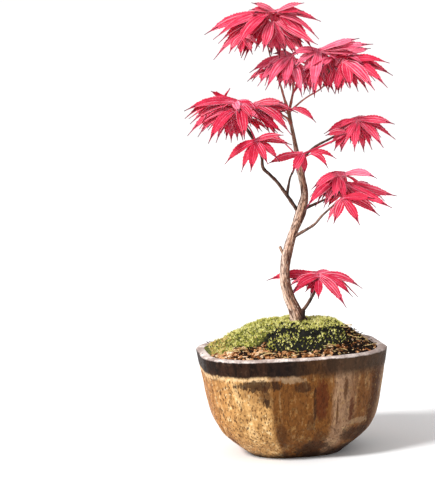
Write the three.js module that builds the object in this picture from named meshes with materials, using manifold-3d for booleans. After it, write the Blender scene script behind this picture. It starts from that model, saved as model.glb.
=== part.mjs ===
// A small Japanese maple grown as a bonsai in a glazed square bowl, as separate closed solids.
// Millimetres: x to the right, y to the back, z up from the origin at the centre of the pot's flat underside.
import * as THREE from 'three';
import { mergeVertices } from 'three/addons/utils/BufferGeometryUtils.js';
import Module from 'manifold-3d';

const wasm = await Module();
wasm.setup();

// ---- driving dimensions ----
const gap = 0.3;

const bowl = {
  halfSide: 48,
  footHalfSide: 25.8,
  height: 55,
  wall: 4.7,
  floor: 7,
  turn: 8,
  depthShare: 0.84,
  rimRound: 0.9,
  cornerShare: { foot: 0.8, rim: 0.7 },
  sectors: 36,
};

const mound = {
  radius: 40,
  power: 3.6,
  soilEdge: 52,
  soilRise: 15,
  mossEdge: 55,
  mossRise: 15,
  lump: 0.5,
  dip: 3.2,
  dipRadius: 6.3,
};

// How far the moss reaches from the trunk's foot, and what that gains to each side.
const mossReach = { round: 32, right: -9.5, left: 7.5, front: -3, wave: 0.9 };

const trunk = {
  cut: 66,
  fork: 179,
  flare: 2.6,
  flareHeight: 4.5,
  rootLobes: 5,
  lobeDepth: 0.14,
  foot: 3.05,
  tip: 1.0,
  sides: 12,
  steps: 25,
};

const looks = {
  glaze: { color: 0xa8814e, roughness: 0.35 },
  soil: { color: 0x8a5a38, roughness: 1 },
  moss: { color: 0x8f9a2c, roughness: 1 },
  bark: { color: 0xa98a6c, roughness: 0.9 },
  leaves: { color: 0xe8365c, roughness: 0.7 },
};

// ---- helpers ----
const radians = THREE.MathUtils.degToRad;

function mix(from, to, share) {
  return from + (to - from) * share;
}

// Repeatable unevenness between -1 and 1 for a whole number and a seed.
function uneven(index, seed) {
  const wave = Math.sin(index * 12.9898 + seed * 78.233) * 43758.5453;
  return 2 * (wave - Math.floor(wave)) - 1;
}

// Moves every vertex of a shape, welds it, faces it outwards and makes it a solid.
function solidFrom(geometry, move) {
  const shape = geometry.clone();
  shape.deleteAttribute('normal');
  shape.deleteAttribute('uv');
  const points = shape.attributes.position;
  const point = new THREE.Vector3();
  for (let i = 0; i < points.count; i += 1) {
    point.fromBufferAttribute(points, i);
    move(point);
    points.setXYZ(i, point.x, point.y, point.z);
  }
  const welded = mergeVertices(shape, 1e-3);
  const vertProperties = new Float32Array(welded.attributes.position.array);
  const faces = [];
  for (let i = 0; i < welded.index.count; i += 3) {
    const [a, b, c] = [0, 1, 2].map((step) => welded.index.getX(i + step));
    if (a !== b && b !== c && c !== a) faces.push([a, b, c]);
  }
  const corner = (index) => new THREE.Vector3().fromArray(vertProperties, index * 3);
  let volume = 0;
  for (const [a, b, c] of faces) volume += corner(a).dot(corner(b).cross(corner(c)));
  const outward = volume < 0 ? faces.map(([a, b, c]) => [a, c, b]) : faces;
  const triVerts = new Uint32Array(outward.flat());
  return new wasm.Manifold(new wasm.Mesh({ numProp: 3, vertProperties, triVerts }));
}

// Where a cut leaves crumbs beside the piece itself, only the largest is kept.
function largest(solid) {
  return solid.decompose().reduce((best, next) => (next.volume() > best.volume() ? next : best));
}

function cutBy(solid, tools) {
  return largest(tools.reduce((left, tool) => left.subtract(tool), solid));
}

const tree = new THREE.Group();

function addPiece(name, solid, look) {
  const { vertProperties, triVerts } = solid.getMesh();
  const geometry = new THREE.BufferGeometry();
  geometry.setAttribute('position', new THREE.BufferAttribute(vertProperties, 3));
  geometry.setIndex(new THREE.BufferAttribute(triVerts, 1));
  geometry.computeVertexNormals();
  const piece = new THREE.Mesh(geometry, new THREE.MeshStandardMaterial({ ...look, metalness: 0 }));
  piece.name = name;
  tree.add(piece);
}

// ---- pot ----
// Distance from the centre to the side of a square with rounded corners, along one bearing.
function squareReach(bearing, halfSide, cornerShare) {
  const quarter = Math.PI / 2;
  const turned = bearing - radians(bowl.turn);
  const off = Math.abs(turned - quarter * Math.round(turned / quarter));
  const corner = halfSide * cornerShare;
  const flat = halfSide - corner;
  if (halfSide * Math.tan(off) <= flat) return halfSide / Math.cos(off);
  const along = flat * (Math.cos(off) + Math.sin(off));
  return along + Math.sqrt(along * along - 2 * flat * flat + corner * corner);
}

// Turns a lathed shape, whose radius stands for the half side, into the bowl's soft, shallower square.
function squared(point) {
  const [x, up, z] = point;
  const halfSide = Math.hypot(x, z);
  const bearing = Math.atan2(z, x);
  const share = mix(bowl.cornerShare.foot, bowl.cornerShare.rim, up / bowl.height);
  const reach = halfSide > 0 ? squareReach(bearing, halfSide, share) : 0;
  point.set(reach * Math.cos(bearing), bowl.depthShare * reach * Math.sin(bearing), up);
}

// The bowl's outside, as half side against height, from its foot to just under its rim.
const sideSteps = 8;
const side = new THREE.SplineCurve([
  new THREE.Vector2(bowl.footHalfSide, 0),
  new THREE.Vector2(30.2, 4),
  new THREE.Vector2(36, 11),
  new THREE.Vector2(40.9, 21),
  new THREE.Vector2(44.3, 32),
  new THREE.Vector2(46.4, 43),
  new THREE.Vector2(bowl.halfSide, bowl.height - bowl.rimRound),
]);

function lathed(profile) {
  return solidFrom(new THREE.LatheGeometry(profile, bowl.sectors), squared);
}

// The inside of the bowl, from its floor up: the outside moved in by the wall.
function insideProfile(inset) {
  const inside = side.getPoints(sideSteps).filter((point) => point.y > bowl.floor + 1);
  return [
    new THREE.Vector2(0, bowl.floor + inset),
    ...inside.map((point) => new THREE.Vector2(point.x - bowl.wall - inset, point.y + inset)),
  ];
}

function makePot() {
  const outside = [new THREE.Vector2(0, 0), ...side.getPoints(sideSteps)];
  const rim = [
    new THREE.Vector2(bowl.halfSide - bowl.rimRound, bowl.height),
    new THREE.Vector2(bowl.halfSide - bowl.wall + bowl.rimRound, bowl.height),
  ];
  return lathed([...outside, ...rim, ...insideProfile(0).reverse()]);
}

// ---- soil and moss ----
// The mound's share of its full height: 1 at its middle and 0 at its edge.
function moundShare(x, y) {
  return 1 - Math.min(1, Math.hypot(x, y / bowl.depthShare) / mound.radius) ** mound.power;
}

// The soil is flat where the trunk stands on it.
function soilHeight(x, y) {
  return Math.min(trunk.cut - gap, mound.soilEdge + mound.soilRise * moundShare(x, y) ** 1.3);
}

function mossHeight(x, y) {
  const lump = mound.lump * (Math.sin(x * 0.31 + 1) + Math.sin(y * 0.37 + x * 0.11));
  const foot = trunkCentre(trunk.cut);
  const dip = mound.dip * Math.exp(-(((x - foot.x) ** 2 + (y - foot.y) ** 2) / mound.dipRadius ** 2));
  return mound.mossEdge + mound.mossRise * moundShare(x, y) + lump - dip;
}

// A solid block round the trunk's foot, from a base up to a height that varies, out to a rim.
function heap(ringShares, rim, heightAt, base) {
  const top = ringShares.map((share) => new THREE.Vector2(share, 1));
  const profile = [new THREE.Vector2(0, 0), new THREE.Vector2(1, 0), ...top.reverse()];
  const foot = trunkCentre(trunk.cut);
  return solidFrom(new THREE.LatheGeometry(profile, 28), (point) => {
    const share = Math.hypot(point.x, point.z);
    const bearing = Math.atan2(point.z, point.x);
    const x = foot.x + share * rim(bearing) * Math.cos(bearing);
    const y = foot.y + share * rim(bearing) * Math.sin(bearing);
    point.set(x, y, point.y > 0.5 ? heightAt(x, y) : base);
  });
}

function mossReachAt(bearing) {
  const right = Math.max(0, Math.cos(bearing));
  const left = Math.max(0, -Math.cos(bearing));
  const front = Math.max(0, -Math.sin(bearing));
  const sides = mossReach.right * right ** 4 + mossReach.left * left ** 2 + mossReach.front * front ** 2;
  return mossReach.round + sides + mossReach.wave * Math.sin(4 * bearing + 1);
}

// ---- trunk and boughs ----
const trunkLine = new THREE.CatmullRomCurve3([
  new THREE.Vector3(5.3, 0, trunk.cut),
  new THREE.Vector3(3.9, 0, 71.9),
  new THREE.Vector3(0.4, 0.5, 81.9),
  new THREE.Vector3(-1, 1.2, 91.7),
  new THREE.Vector3(0.6, 1.2, 102.7),
  new THREE.Vector3(4, 0.5, 113.5),
  new THREE.Vector3(8.6, -0.4, 124.3),
  new THREE.Vector3(11.3, -0.8, 135),
  new THREE.Vector3(9.8, -0.4, 146.2),
  new THREE.Vector3(7.6, 0.3, 160.7),
  new THREE.Vector3(4.8, 0.6, trunk.fork),
]);

// Thickened places on the trunk, where boughs leave it: height, added radius and half length.
const swellings = [
  { height: 103.7, by: 0.35, over: 4 },
  { height: 125.3, by: 0.8, over: 6 },
  { height: 146.2, by: 0.55, over: 3 },
  { height: 177.5, by: 0.5, over: 3 },
];

function trunkCentre(height) {
  let [low, high] = [0, 1];
  for (let i = 0; i < 24; i += 1) {
    const middle = (low + high) / 2;
    if (trunkLine.getPoint(middle).z < height) low = middle;
    else high = middle;
  }
  return trunkLine.getPoint(low);
}

function trunkRadius(height, bearing) {
  const up = height - trunk.cut;
  const foot = Math.exp(-up / trunk.flareHeight);
  const taper = mix(trunk.foot, trunk.tip, (up / (trunk.fork - trunk.cut)) ** 1.15);
  const swell = swellings.reduce(
    (sum, { height: at, by, over }) => sum + by * Math.exp(-(((height - at) / over) ** 2)),
    0,
  );
  const lobes = 1 + trunk.lobeDepth * foot * Math.cos(trunk.rootLobes * bearing);
  return (taper + swell + trunk.flare * foot) * lobes;
}

function makeTrunk(grow = 0) {
  const shape = new THREE.CylinderGeometry(1, 1, 1, trunk.sides, trunk.steps);
  return solidFrom(shape, (point) => {
    const height = mix(trunk.cut, trunk.fork, point.y + 0.5);
    const bearing = Math.atan2(point.z, point.x);
    const rimShare = Math.hypot(point.x, point.z);
    const reach = rimShare * (trunkRadius(height, bearing) + grow);
    const centre = trunkCentre(height);
    const end = Math.abs(point.y) > 0.499 ? Math.sign(point.y) * grow : 0;
    point.set(centre.x + reach * Math.cos(bearing), centre.y + reach * Math.sin(bearing), height + end);
  });
}

// Each bough leaves the trunk at a height, or another bough at a share of its length, and runs
// through its bends to its tip inside a foliage mass. Its radii are at its foot and its tip.
const boughs = [
  { name: 'stub', height: 101.7, via: [[-1.6, 0.6, 104.6]], tip: [-2.9, 0.5, 107.7], radii: [0.9, 0.6] },
  { name: 'bough_basal', height: 70.9, via: [[8.4, 0, 74.4], [11, 1, 77.7], [14.3, 3, 82.7]],
    tip: [16.5, 5, 87.8], radii: [1.2, 0.75] },
  { name: 'bough_right_low', height: 111.8, via: [[11.3, -4, 116.2], [15.7, -7, 119.1], [20.1, -10, 123.9]],
    tip: [26.8, -13.5, 129.7], radii: [1.0, 0.55] },
  { name: 'bough_right_mid', height: 126.3, via: [[19.4, 1, 130.1], [23.9, 2, 132.1]],
    tip: [30.9, 3.5, 137.6], radii: [1.15, 0.7] },
  { name: 'bough_left', height: 124.3, via: [[1.9, -3, 134.8], [-2.1, -5, 141], [-6.1, -6, 145.6],
    [-9.5, -7, 149.5], [-10, -8, 155.9], [-13.4, -9, 164.5]], tip: [-21.7, -8.5, 176.9], radii: [1.2, 0.7] },
  { name: 'bough_centre', from: 'bough_left', share: 0.2, via: [[4.2, -4.6, 143.4], [6.2, -6.5, 147.4]],
    tip: [8.5, -9, 153.5], radii: [0.75, 0.5] },
  { name: 'bough_right_high', height: 151.3, via: [[15.2, 0, 156.7], [19.5, 1, 159.6], [25.1, 2, 162.1]],
    tip: [34.4, 4.5, 166.5], radii: [0.9, 0.55] },
  { name: 'bough_left_inner', height: 171.5, via: [[3.6, -1, 174.6]], tip: [-1.6, -2.4, 177.9],
    radii: [0.7, 0.45] },
  { name: 'bough_crown_left', height: 177, via: [[3, -0.5, 185.2], [1.4, -0.5, 191.8],
    [-1, 0, 199.3], [-3.2, 1, 207.3]], tip: [-5, 2.5, 217.1], radii: [0.95, 0.6] },
  { name: 'bough_crown_middle', height: 177, via: [[6.9, 2.2, 183.5], [8.1, 2, 190.4]],
    tip: [6.6, 0, 200.5], radii: [0.95, 0.6] },
  { name: 'bough_crown_right', height: 177, via: [[13.8, -2.4, 183.8], [22.6, -5, 188.8]],
    tip: [28.9, -7, 197.3], radii: [0.75, 0.5] },
  { name: 'bough_back_high', from: 'bough_crown_right', share: 0.75, via: [[26.8, 5, 192.9]],
    tip: [30.6, 14, 198.2], radii: [0.6, 0.45] },
  { name: 'bough_back_left', from: 'bough_left', share: 0.78, via: [[-15.6, -1, 168.1]],
    tip: [-21.6, 13, 175.9], radii: [0.7, 0.45] },
  { name: 'bough_back_right', from: 'bough_right_mid', share: 0.7, via: [[28.7, 10, 133.7]],
    tip: [35.5, 22, 136.9], radii: [0.75, 0.5] },
];

const boughLines = {};

function boughLine(bough) {
  const root = bough.from ? boughLines[bough.from].getPointAt(bough.share) : trunkCentre(bough.height);
  const bends = bough.via.map((point) => new THREE.Vector3(...point));
  boughLines[bough.name] = new THREE.CatmullRomCurve3([root, ...bends, new THREE.Vector3(...bough.tip)]);
  return boughLines[bough.name];
}

// A closed cylinder bent along a line, tapering from its foot to its tip; grow fattens it all round.
function limb(line, radii, grow = 0) {
  const sides = 7;
  const steps = Math.max(5, Math.round(line.getLength() / 4.5));
  const frames = line.computeFrenetFrames(steps);
  return solidFrom(new THREE.CylinderGeometry(1, 1, 1, sides, steps), (point) => {
    const [across, up, aside] = point;
    const step = Math.round((up + 0.5) * steps);
    const radius = mix(radii[0], radii[1], step / steps) + grow;
    const end = (step === steps ? grow : 0) - (step === 0 ? grow : 0);
    point.copy(line.getPointAt(step / steps));
    point.addScaledVector(frames.tangents[step], end);
    point.addScaledVector(frames.normals[step], across * radius);
    point.addScaledVector(frames.binormals[step], aside * radius);
  });
}

// ---- foliage ----
// Each mass is a low umbrella with a ragged edge. Its reach and the hang of its edge are given
// to the left, right, front and back of its middle, with its rise above and its depth below that.
// A spur is a single tip that reaches further: its bearing in degrees from the right, reach and hang.
const masses = [
  { name: 'mass_top', at: [-6.6, 2, 221.8], reach: [30, 30.5, 25, 24], hang: [-2.4, 1.1, -14, -9],
    rise: 10.7, depth: 7, tips: 8, seed: 1,
    spurs: [[205, 28, -16.1], [240, 28, -13.1], [325, 34, -11.8], [28, 19.3, 11]] },
  { name: 'mass_upper_middle', at: [3.3, -2, 201.1], reach: [17.5, 13, 18, 17], hang: [-2.6, 1.3, -12, -8],
    rise: 7.1, depth: 4, tips: 8, seed: 2, spurs: [[215, 16.5, -10], [238, 18, -12.3], [300, 17.6, -16.9]] },
  { name: 'mass_upper_right', at: [29.8, -8, 199.5], reach: [17, 29, 22, 15], hang: [-3.6, -6.6, -13, -6],
    rise: 9, depth: 5, tips: 10, seed: 3,
    spurs: [[20, 24, 1.3], [40, 25.5, 8.6], [75, 19, 11.8], [335, 27.7, -12.8], [312, 27, -13.9],
      [235, 22, -13.3]] },
  { name: 'mass_left', at: [-24, -8, 179.9], reach: [23, 15, 20, 13], hang: [-1.9, 1.7, -15, -6],
    rise: 7, depth: 5, tips: 8, seed: 4,
    spurs: [[200, 24.4, -12.1], [225, 22.6, -13.1], [240, 23.8, -16.3], [115, 20, 10.1], [290, 18, -15.2]] },
  { name: 'mass_left_inner', at: [-4.5, -3, 177.8], reach: [7, 14.4, 15, 14], hang: [2.4, -1.3, -10, -5],
    rise: 6.5, depth: 4, tips: 6, seed: 5, spurs: [[315, 14.7, -12.3]] },
  { name: 'mass_left_low', at: [-13.4, -15, 163.5], reach: [15.5, 17, 13, 10], hang: [-11.2, -5.9, -14, -4],
    rise: 4, depth: 2.5, tips: 6, notch: 0.5, seed: 6,
    spurs: [[260, 12, -15.2], [330, 17.1, -7.9], [5, 19.4, -3]] },
  { name: 'mass_centre', at: [11.3, -9, 154.5], reach: [18.5, 17, 13, 7], hang: [-3.1, -2.4, -9, 0],
    rise: 4, depth: 2.5, tips: 6, notch: 0.45, seed: 7, spurs: [[320, 16, -6.7], [275, 10, -8.2]] },
  { name: 'mass_right', at: [37.5, 6, 167.4], reach: [14.5, 20, 17, 17], hang: [-2.3, -1, -12, -5],
    rise: 7.7, depth: 4, tips: 8, seed: 8,
    spurs: [[350, 22.5, -7.1], [15, 19.1, 3.6], [318, 20.3, -10.9], [262, 12, -12.1], [125, 10.8, 4.9]] },
  { name: 'mass_right_mid', at: [32.7, 4, 138.9], reach: [18.7, 27, 12, 12], hang: [-6.4, -8.1, -4, -6],
    rise: 8.4, depth: 4, tips: 8, seed: 9,
    spurs: [[20, 19.4, 1.4], [335, 25.7, -13.5], [310, 22, -12.2], [215, 15.9, -8.2]] },
  { name: 'mass_right_low', at: [30.6, -14, 131.1], reach: [8.8, 18.4, 14, 9], hang: [-11, -9.1, -11, -4],
    rise: 1.5, depth: 2, tips: 6, notch: 0.5, seed: 10, spurs: [[300, 14.4, -12.2]] },
  { name: 'mass_bottom', at: [15.9, 7, 89.5], reach: [26.7, 23.7, 19, 18], hang: [-0.2, -6.9, -9, -7],
    rise: 4.8, depth: 3, tips: 8, seed: 11, spurs: [[315, 20.2, -14.8], [22, 13, 2.1]] },
  { name: 'mass_back_high', at: [31.8, 19, 200.2], reach: [15, 20, 8, 15], hang: [-5.2, -9, -3, -12],
    rise: 6, depth: 4, tips: 6, seed: 12 },
  { name: 'mass_back_left', at: [-23.4, 18, 178], reach: [16, 16, 9, 14], hang: [-6.2, -7.8, -3, -10],
    rise: 5, depth: 4, tips: 6, seed: 13 },
  { name: 'mass_back_right', at: [37.7, 26, 138.8], reach: [15, 17, 9, 13], hang: [-5.2, -6.9, -3, -9],
    rise: 5, depth: 4, tips: 6, seed: 14 },
];

// The values to the right or left and to the back or front that hold along one bearing.
function alongBearing([left, right, front, back], bearing) {
  return [Math.cos(bearing) > 0 ? right : left, Math.sin(bearing) > 0 ? back : front];
}

// The ragged edge of a mass, as a bearing, a reach and a hang for each sector of it.
function massEdge(mass) {
  const perTip = 3;
  const sectors = mass.tips * perTip;
  const notch = mass.notch ?? 0.3;
  const edge = [];
  for (let i = 0; i < sectors; i += 1) {
    const bearing = (i / sectors) * 2 * Math.PI;
    const [cos, sin] = [Math.cos(bearing), Math.sin(bearing)];
    const [reachX, reachY] = alongBearing(mass.reach, bearing);
    const [hangX, hangY] = alongBearing(mass.hang, bearing);
    const valley = 0.5 - 0.5 * Math.cos((i / perTip) * 2 * Math.PI);
    const widest = i % (sectors / 2) === 0;
    const ragged = widest ? 1 : 0.92 - 0.08 * uneven(Math.round(i / perTip), mass.seed);
    edge.push({
      bearing,
      reach: (ragged * (1 - notch * valley)) / Math.hypot(cos / reachX, sin / reachY),
      hang: hangX * cos * cos + hangY * sin * sin,
    });
  }
  for (const [degrees, reach, hang] of mass.spurs ?? []) {
    const index = Math.round((degrees / 360) * sectors) % sectors;
    edge[index] = { bearing: radians(degrees), reach, hang };
  }
  return edge;
}

// A sphere pressed into an umbrella: its poles are the mass's top and belly, its equator the edge.
function makeMass(mass, grow = 0) {
  const rings = 6;
  const edge = massEdge(mass);
  const sectors = edge.length;
  return solidFrom(new THREE.SphereGeometry(1, sectors, rings), (point) => {
    const level = Math.acos(THREE.MathUtils.clamp(point.y, -1, 1)) / Math.PI;
    const out = 1 - Math.abs(2 * level - 1);
    const turns = Math.atan2(point.z, point.x) / (2 * Math.PI);
    const index = Math.round((turns < 0 ? turns + 1 : turns) * sectors) % sectors;
    const { bearing, reach, hang } = edge[index];
    const lump = out > 0.01 ? 1 + 0.12 * uneven(index + 7 * Math.round(level * rings), mass.seed) : 1;
    const pole = point.y > 0 ? mass.rise + grow : -(mass.depth + grow);
    const height = pole * (1 - out ** 1.7) * lump + hang * out ** 1.8;
    const across = out * (reach + grow);
    const [x, y, z] = mass.at;
    point.set(x + across * Math.cos(bearing), y + across * Math.sin(bearing), z + height);
  });
}

// ---- assembly ----
const beyondBowl = 60;
const ground = heap([0, 0.16, 0.35, 0.5, 0.65, 0.8, 1], () => beyondBowl, soilHeight, 0);
const cavity = lathed([...insideProfile(gap), new THREE.Vector2(0, bowl.height + mound.mossRise)]);
addPiece('pot', makePot(), looks.glaze);
addPiece('soil', cavity.intersect(ground), looks.soil);

const fatTrunk = makeTrunk(gap);
const mossBlock = heap([0, 0.25, 0.45, 0.65, 0.8, 0.92, 1], mossReachAt, mossHeight, bowl.floor);
addPiece('moss', cutBy(mossBlock, [ground.translate(0, 0, gap), fatTrunk]), looks.moss);
addPiece('trunk', makeTrunk(), looks.bark);

// Each later piece is cut clear of the wood and leaves before it.
const clearances = [fatTrunk];
for (const bough of boughs) {
  const line = boughLine(bough);
  addPiece(bough.name, cutBy(limb(line, bough.radii), clearances), looks.bark);
  clearances.push(limb(line, bough.radii, gap));
}
for (const mass of masses) {
  addPiece(mass.name, cutBy(makeMass(mass), clearances), looks.leaves);
  clearances.push(makeMass(mass, gap));
}

export default tree;
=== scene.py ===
import math
import random

import bmesh
import bpy
from mathutils import Matrix, Vector, noise
from mathutils.bvhtree import BVHTree


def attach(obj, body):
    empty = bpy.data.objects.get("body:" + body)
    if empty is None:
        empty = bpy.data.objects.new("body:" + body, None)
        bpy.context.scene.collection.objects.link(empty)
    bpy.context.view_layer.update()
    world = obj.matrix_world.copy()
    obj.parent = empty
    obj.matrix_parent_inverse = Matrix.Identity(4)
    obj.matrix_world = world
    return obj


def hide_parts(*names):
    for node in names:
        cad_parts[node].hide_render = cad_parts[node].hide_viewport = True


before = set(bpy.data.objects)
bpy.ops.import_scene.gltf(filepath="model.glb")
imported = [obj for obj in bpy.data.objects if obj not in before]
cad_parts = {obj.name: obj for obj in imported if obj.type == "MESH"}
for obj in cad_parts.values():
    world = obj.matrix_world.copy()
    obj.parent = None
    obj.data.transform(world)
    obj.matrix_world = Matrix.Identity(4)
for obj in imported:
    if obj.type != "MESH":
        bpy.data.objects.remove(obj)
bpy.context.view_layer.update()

mm = 0.001  # every shape below is worked out in millimetres and scaled by this at the end
up = Vector((0, 0, 1))

view = {"at": (0, -700, 173), "turn": 2.899, "tilt": -5.239, "roll": -3.0, "lens": 97.67}
light = {"from": (-0.62, -0.5, 0.72), "sun": 3.4, "softness": 14, "sky": 0.72, "backdrop": 1.05,
         "ground": 0.9}


def makeCamera():
    lens = bpy.data.cameras.new("camera")
    lens.lens = view["lens"]
    lens.sensor_width = 36
    lens.clip_start, lens.clip_end = 0.01, 100
    eye = bpy.data.objects.new("camera", lens)
    turn = Matrix.Rotation(math.radians(view["turn"]), 4, "Z")
    tilt = Matrix.Rotation(math.radians(90 + view["tilt"]), 4, "X")
    roll = Matrix.Rotation(math.radians(view["roll"]), 4, "Z")
    eye.matrix_world = Matrix.Translation(Vector(view["at"]) * mm) @ turn @ tilt @ roll
    bpy.context.collection.objects.link(eye)
    bpy.context.scene.camera = eye


class Wire:
    # a socket that can stand in a sum
    def __init__(self, finish, socket):
        self.finish = finish
        self.socket = socket

    def sum(self, operation, first, second=0.0):
        return self.finish.node("ShaderNodeMath", {"operation": operation}, {0: first, 1: second})

    def __add__(self, other):
        return self.sum("ADD", self, other)

    def __radd__(self, other):
        return self.sum("ADD", other, self)

    def __sub__(self, other):
        return self.sum("SUBTRACT", self, other)

    def __rsub__(self, other):
        return self.sum("SUBTRACT", other, self)

    def __mul__(self, other):
        return self.sum("MULTIPLY", self, other)

    def __rmul__(self, other):
        return self.sum("MULTIPLY", other, self)

    def __truediv__(self, other):
        return self.sum("DIVIDE", self, other)

    def __rtruediv__(self, other):
        return self.sum("DIVIDE", other, self)

    def __pow__(self, other):
        return self.sum("POWER", self, other)

    def __rpow__(self, other):
        return self.sum("POWER", other, self)


def paint(code):
    # a colour as the eye sees it, such as "c8506a", made linear
    parts = [int(code[i : i + 2], 16) / 255 for i in (0, 2, 4)]
    return (*[p / 12.92 if p < 0.04045 else ((p + 0.055) / 1.055) ** 2.4 for p in parts], 1)


class Finish:
    # the nodes of one material, or of the world; all of them come from node()
    def __init__(self, name, world=None):
        self.owner = world or bpy.data.materials.new(name)
        self.owner.use_nodes = True
        self.tree = self.owner.node_tree
        self.tree.nodes.clear()
        if not world:
            self.place = self.node("ShaderNodeTexCoord", out="Object")

    def node(self, kind, settings=None, sockets=None, out=0):
        made = self.tree.nodes.new(kind)
        for key, value in (settings or {}).items():
            if key == "stops":
                self.setStops(made.color_ramp.elements, value)
            else:
                setattr(made, key, value)
        for key, value in (sockets or {}).items():
            if isinstance(value, Wire):
                self.tree.links.new(value.socket, made.inputs[key])
            else:
                made.inputs[key].default_value = value
        return Wire(self, made.outputs[out]) if made.outputs else None

    def setStops(self, elements, stops):
        while len(elements) < len(stops):
            elements.new(1)
        for element, (at, code) in zip(elements, stops):
            element.position = at
            element.color = paint(code)

    def parts(self, where):
        apart = self.node("ShaderNodeSeparateXYZ", {}, {0: where})
        return [Wire(self, socket) for socket in apart.socket.node.outputs]

    def stretched(self, scale, where=None):
        return self.node("ShaderNodeMapping", {}, {"Vector": where or self.place, "Scale": scale})

    def noise(self, scale, detail=3.0, where=None, rough=0.55):
        sockets = {"Vector": where or self.place, "Scale": scale, "Detail": detail, "Roughness": rough}
        return self.node("ShaderNodeTexNoise", {}, sockets)

    def cells(self, scale, feature="F1", where=None):
        sockets = {"Vector": where or self.place, "Scale": scale}
        return self.node("ShaderNodeTexVoronoi", {"feature": feature}, sockets)

    def fade(self, value, start, end):
        sockets = {"Value": value, "From Min": start, "From Max": end}
        return self.node("ShaderNodeMapRange", {"interpolation_type": "SMOOTHSTEP"}, sockets)

    def mix(self, share, below, above):
        return self.node("ShaderNodeMix", {"data_type": "RGBA"}, {0: share, 6: below, 7: above}, out=2)

    def bump(self, height, depth, strength=1.0):
        sockets = {"Height": height, "Distance": depth * mm, "Strength": strength}
        return self.node("ShaderNodeBump", {}, sockets)

    def done(self, sockets):
        shader = self.node("ShaderNodeBsdfPrincipled", {}, sockets)
        self.node("ShaderNodeOutputMaterial", {}, {"Surface": shader})
        return self.owner


def makeStudio():
    scene = bpy.context.scene
    scene.view_settings.view_transform = "Standard"
    scene.world = bpy.data.worlds.new("studio")
    sky = Finish("studio", scene.world)
    white = (1, 1, 1, 1)
    fill = sky.node("ShaderNodeBackground", {}, {"Color": white, "Strength": light["sky"]})
    seen = sky.node("ShaderNodeBackground", {}, {"Color": white, "Strength": light["backdrop"]})
    rays = sky.node("ShaderNodeLightPath", out="Is Camera Ray")
    both = sky.node("ShaderNodeMixShader", {}, {0: rays, 1: fill, 2: seen})
    sky.node("ShaderNodeOutputWorld", {}, {"Surface": both})

    sun = bpy.data.lights.new("key", "SUN")
    sun.energy = light["sun"]
    sun.angle = math.radians(light["softness"])
    lamp = bpy.data.objects.new("key", sun)
    lamp.rotation_euler = Vector(light["from"]).to_track_quat("Z", "Y").to_euler()
    bpy.context.collection.objects.link(lamp)

    kit = bmesh.new()
    bmesh.ops.create_grid(kit, x_segments=4, y_segments=4, size=6)
    mesh = bpy.data.meshes.new("floor")
    kit.to_mesh(mesh)
    kit.free()
    floor = bpy.data.objects.new("floor", mesh)
    bpy.context.collection.objects.link(floor)
    plain = Finish("paleFloor")
    pale = (light["ground"],) * 3 + (1,)
    mesh.materials.append(plain.done({"Base Color": pale, "Roughness": 0.9}))


makeCamera()
makeStudio()
print("camera, light and floor are set")


def placePiece(name, mesh, material, replaced=(), smooth=True):
    mesh.materials.append(material)
    for face in mesh.polygons:
        face.use_smooth = smooth
    piece = bpy.data.objects.new(name, mesh)
    bpy.context.collection.objects.link(piece)
    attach(piece, "root")
    if replaced:
        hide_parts(*replaced)
    print(name, len(mesh.polygons), "faces")


def makePiece(name, kit, material, replaced=()):
    bmesh.ops.scale(kit, vec=(mm, mm, mm), verts=kit.verts)
    bmesh.ops.recalc_face_normals(kit, faces=kit.faces)
    mesh = bpy.data.meshes.new(name)
    kit.to_mesh(mesh)
    kit.free()
    placePiece(name, mesh, material, replaced)


def bendThrough(points, spacing):
    # evenly spaced places on a smooth line through the points
    fine = 24  # steps from one point to the next, before they are evened out
    ends = [2 * points[0] - points[1], *points, 2 * points[-1] - points[-2]]
    dense = []
    for i in range(1, len(ends) - 2):
        a, b, c, d = ends[i - 1 : i + 3]
        for j in range(fine):
            t = j / fine
            dense.append(0.5 * (2 * b + (c - a) * t + (2 * a - 5 * b + 4 * c - d) * t * t
                                + (3 * b - a - 3 * c + d) * t ** 3))
    dense.append(points[-1])
    total = sum((q - p).length for p, q in zip(dense, dense[1:]))
    steps = max(2, round(total / spacing))
    line, walked, wanted = [dense[0]], 0.0, total / steps
    for p, q in zip(dense, dense[1:]):
        stretch = (q - p).length
        while walked + stretch >= wanted - 1e-6 and len(line) < steps:
            line.append(p.lerp(q, (wanted - walked) / stretch))
            wanted += total / steps
        walked += stretch
    line.append(dense[-1])
    return line


def alongLine(line, share):
    at = min(max(share, 0), 1) * (len(line) - 1)
    i = min(int(at), len(line) - 2)
    return line[i].lerp(line[i + 1], at - i)


def growTube(kit, line, reach, sides, grain=None):
    # a flat grid wrapped round a line and closed at both ends; reach(share, turn) is its radius
    steps = len(line) - 1
    frames, aside = [], Vector((1, 0, 0))
    for i in range(steps + 1):
        ahead = (line[min(i + 1, steps)] - line[max(i - 1, 0)]).normalized()
        aside = (aside - ahead * aside.dot(ahead)).normalized()
        frames.append((aside.copy(), ahead.cross(aside)))
    made = bmesh.ops.create_grid(kit, x_segments=sides, y_segments=steps, size=0.5)["verts"]
    length = sum((q - p).length for p, q in zip(line, line[1:]))
    for vert in made:
        turn = (vert.co.x + 0.5) * 2 * math.pi
        row = round((vert.co.y + 0.5) * steps)
        radius = reach(row / steps, turn)
        cos, sin = math.cos(turn), math.sin(turn)
        across, over = frames[row]
        vert.co = line[row] + (across * cos + over * sin) * radius
        if grain:
            vert[grain] = Vector((cos * radius, sin * radius, row / steps * length)) * mm
    rims = {edge for vert in made for edge in vert.link_edges if edge.is_boundary}
    bmesh.ops.remove_doubles(kit, verts=made, dist=1e-5)
    rims = [edge for edge in rims if edge.is_valid and edge.is_boundary]
    bmesh.ops.holes_fill(kit, edges=rims, sides=0)


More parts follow.
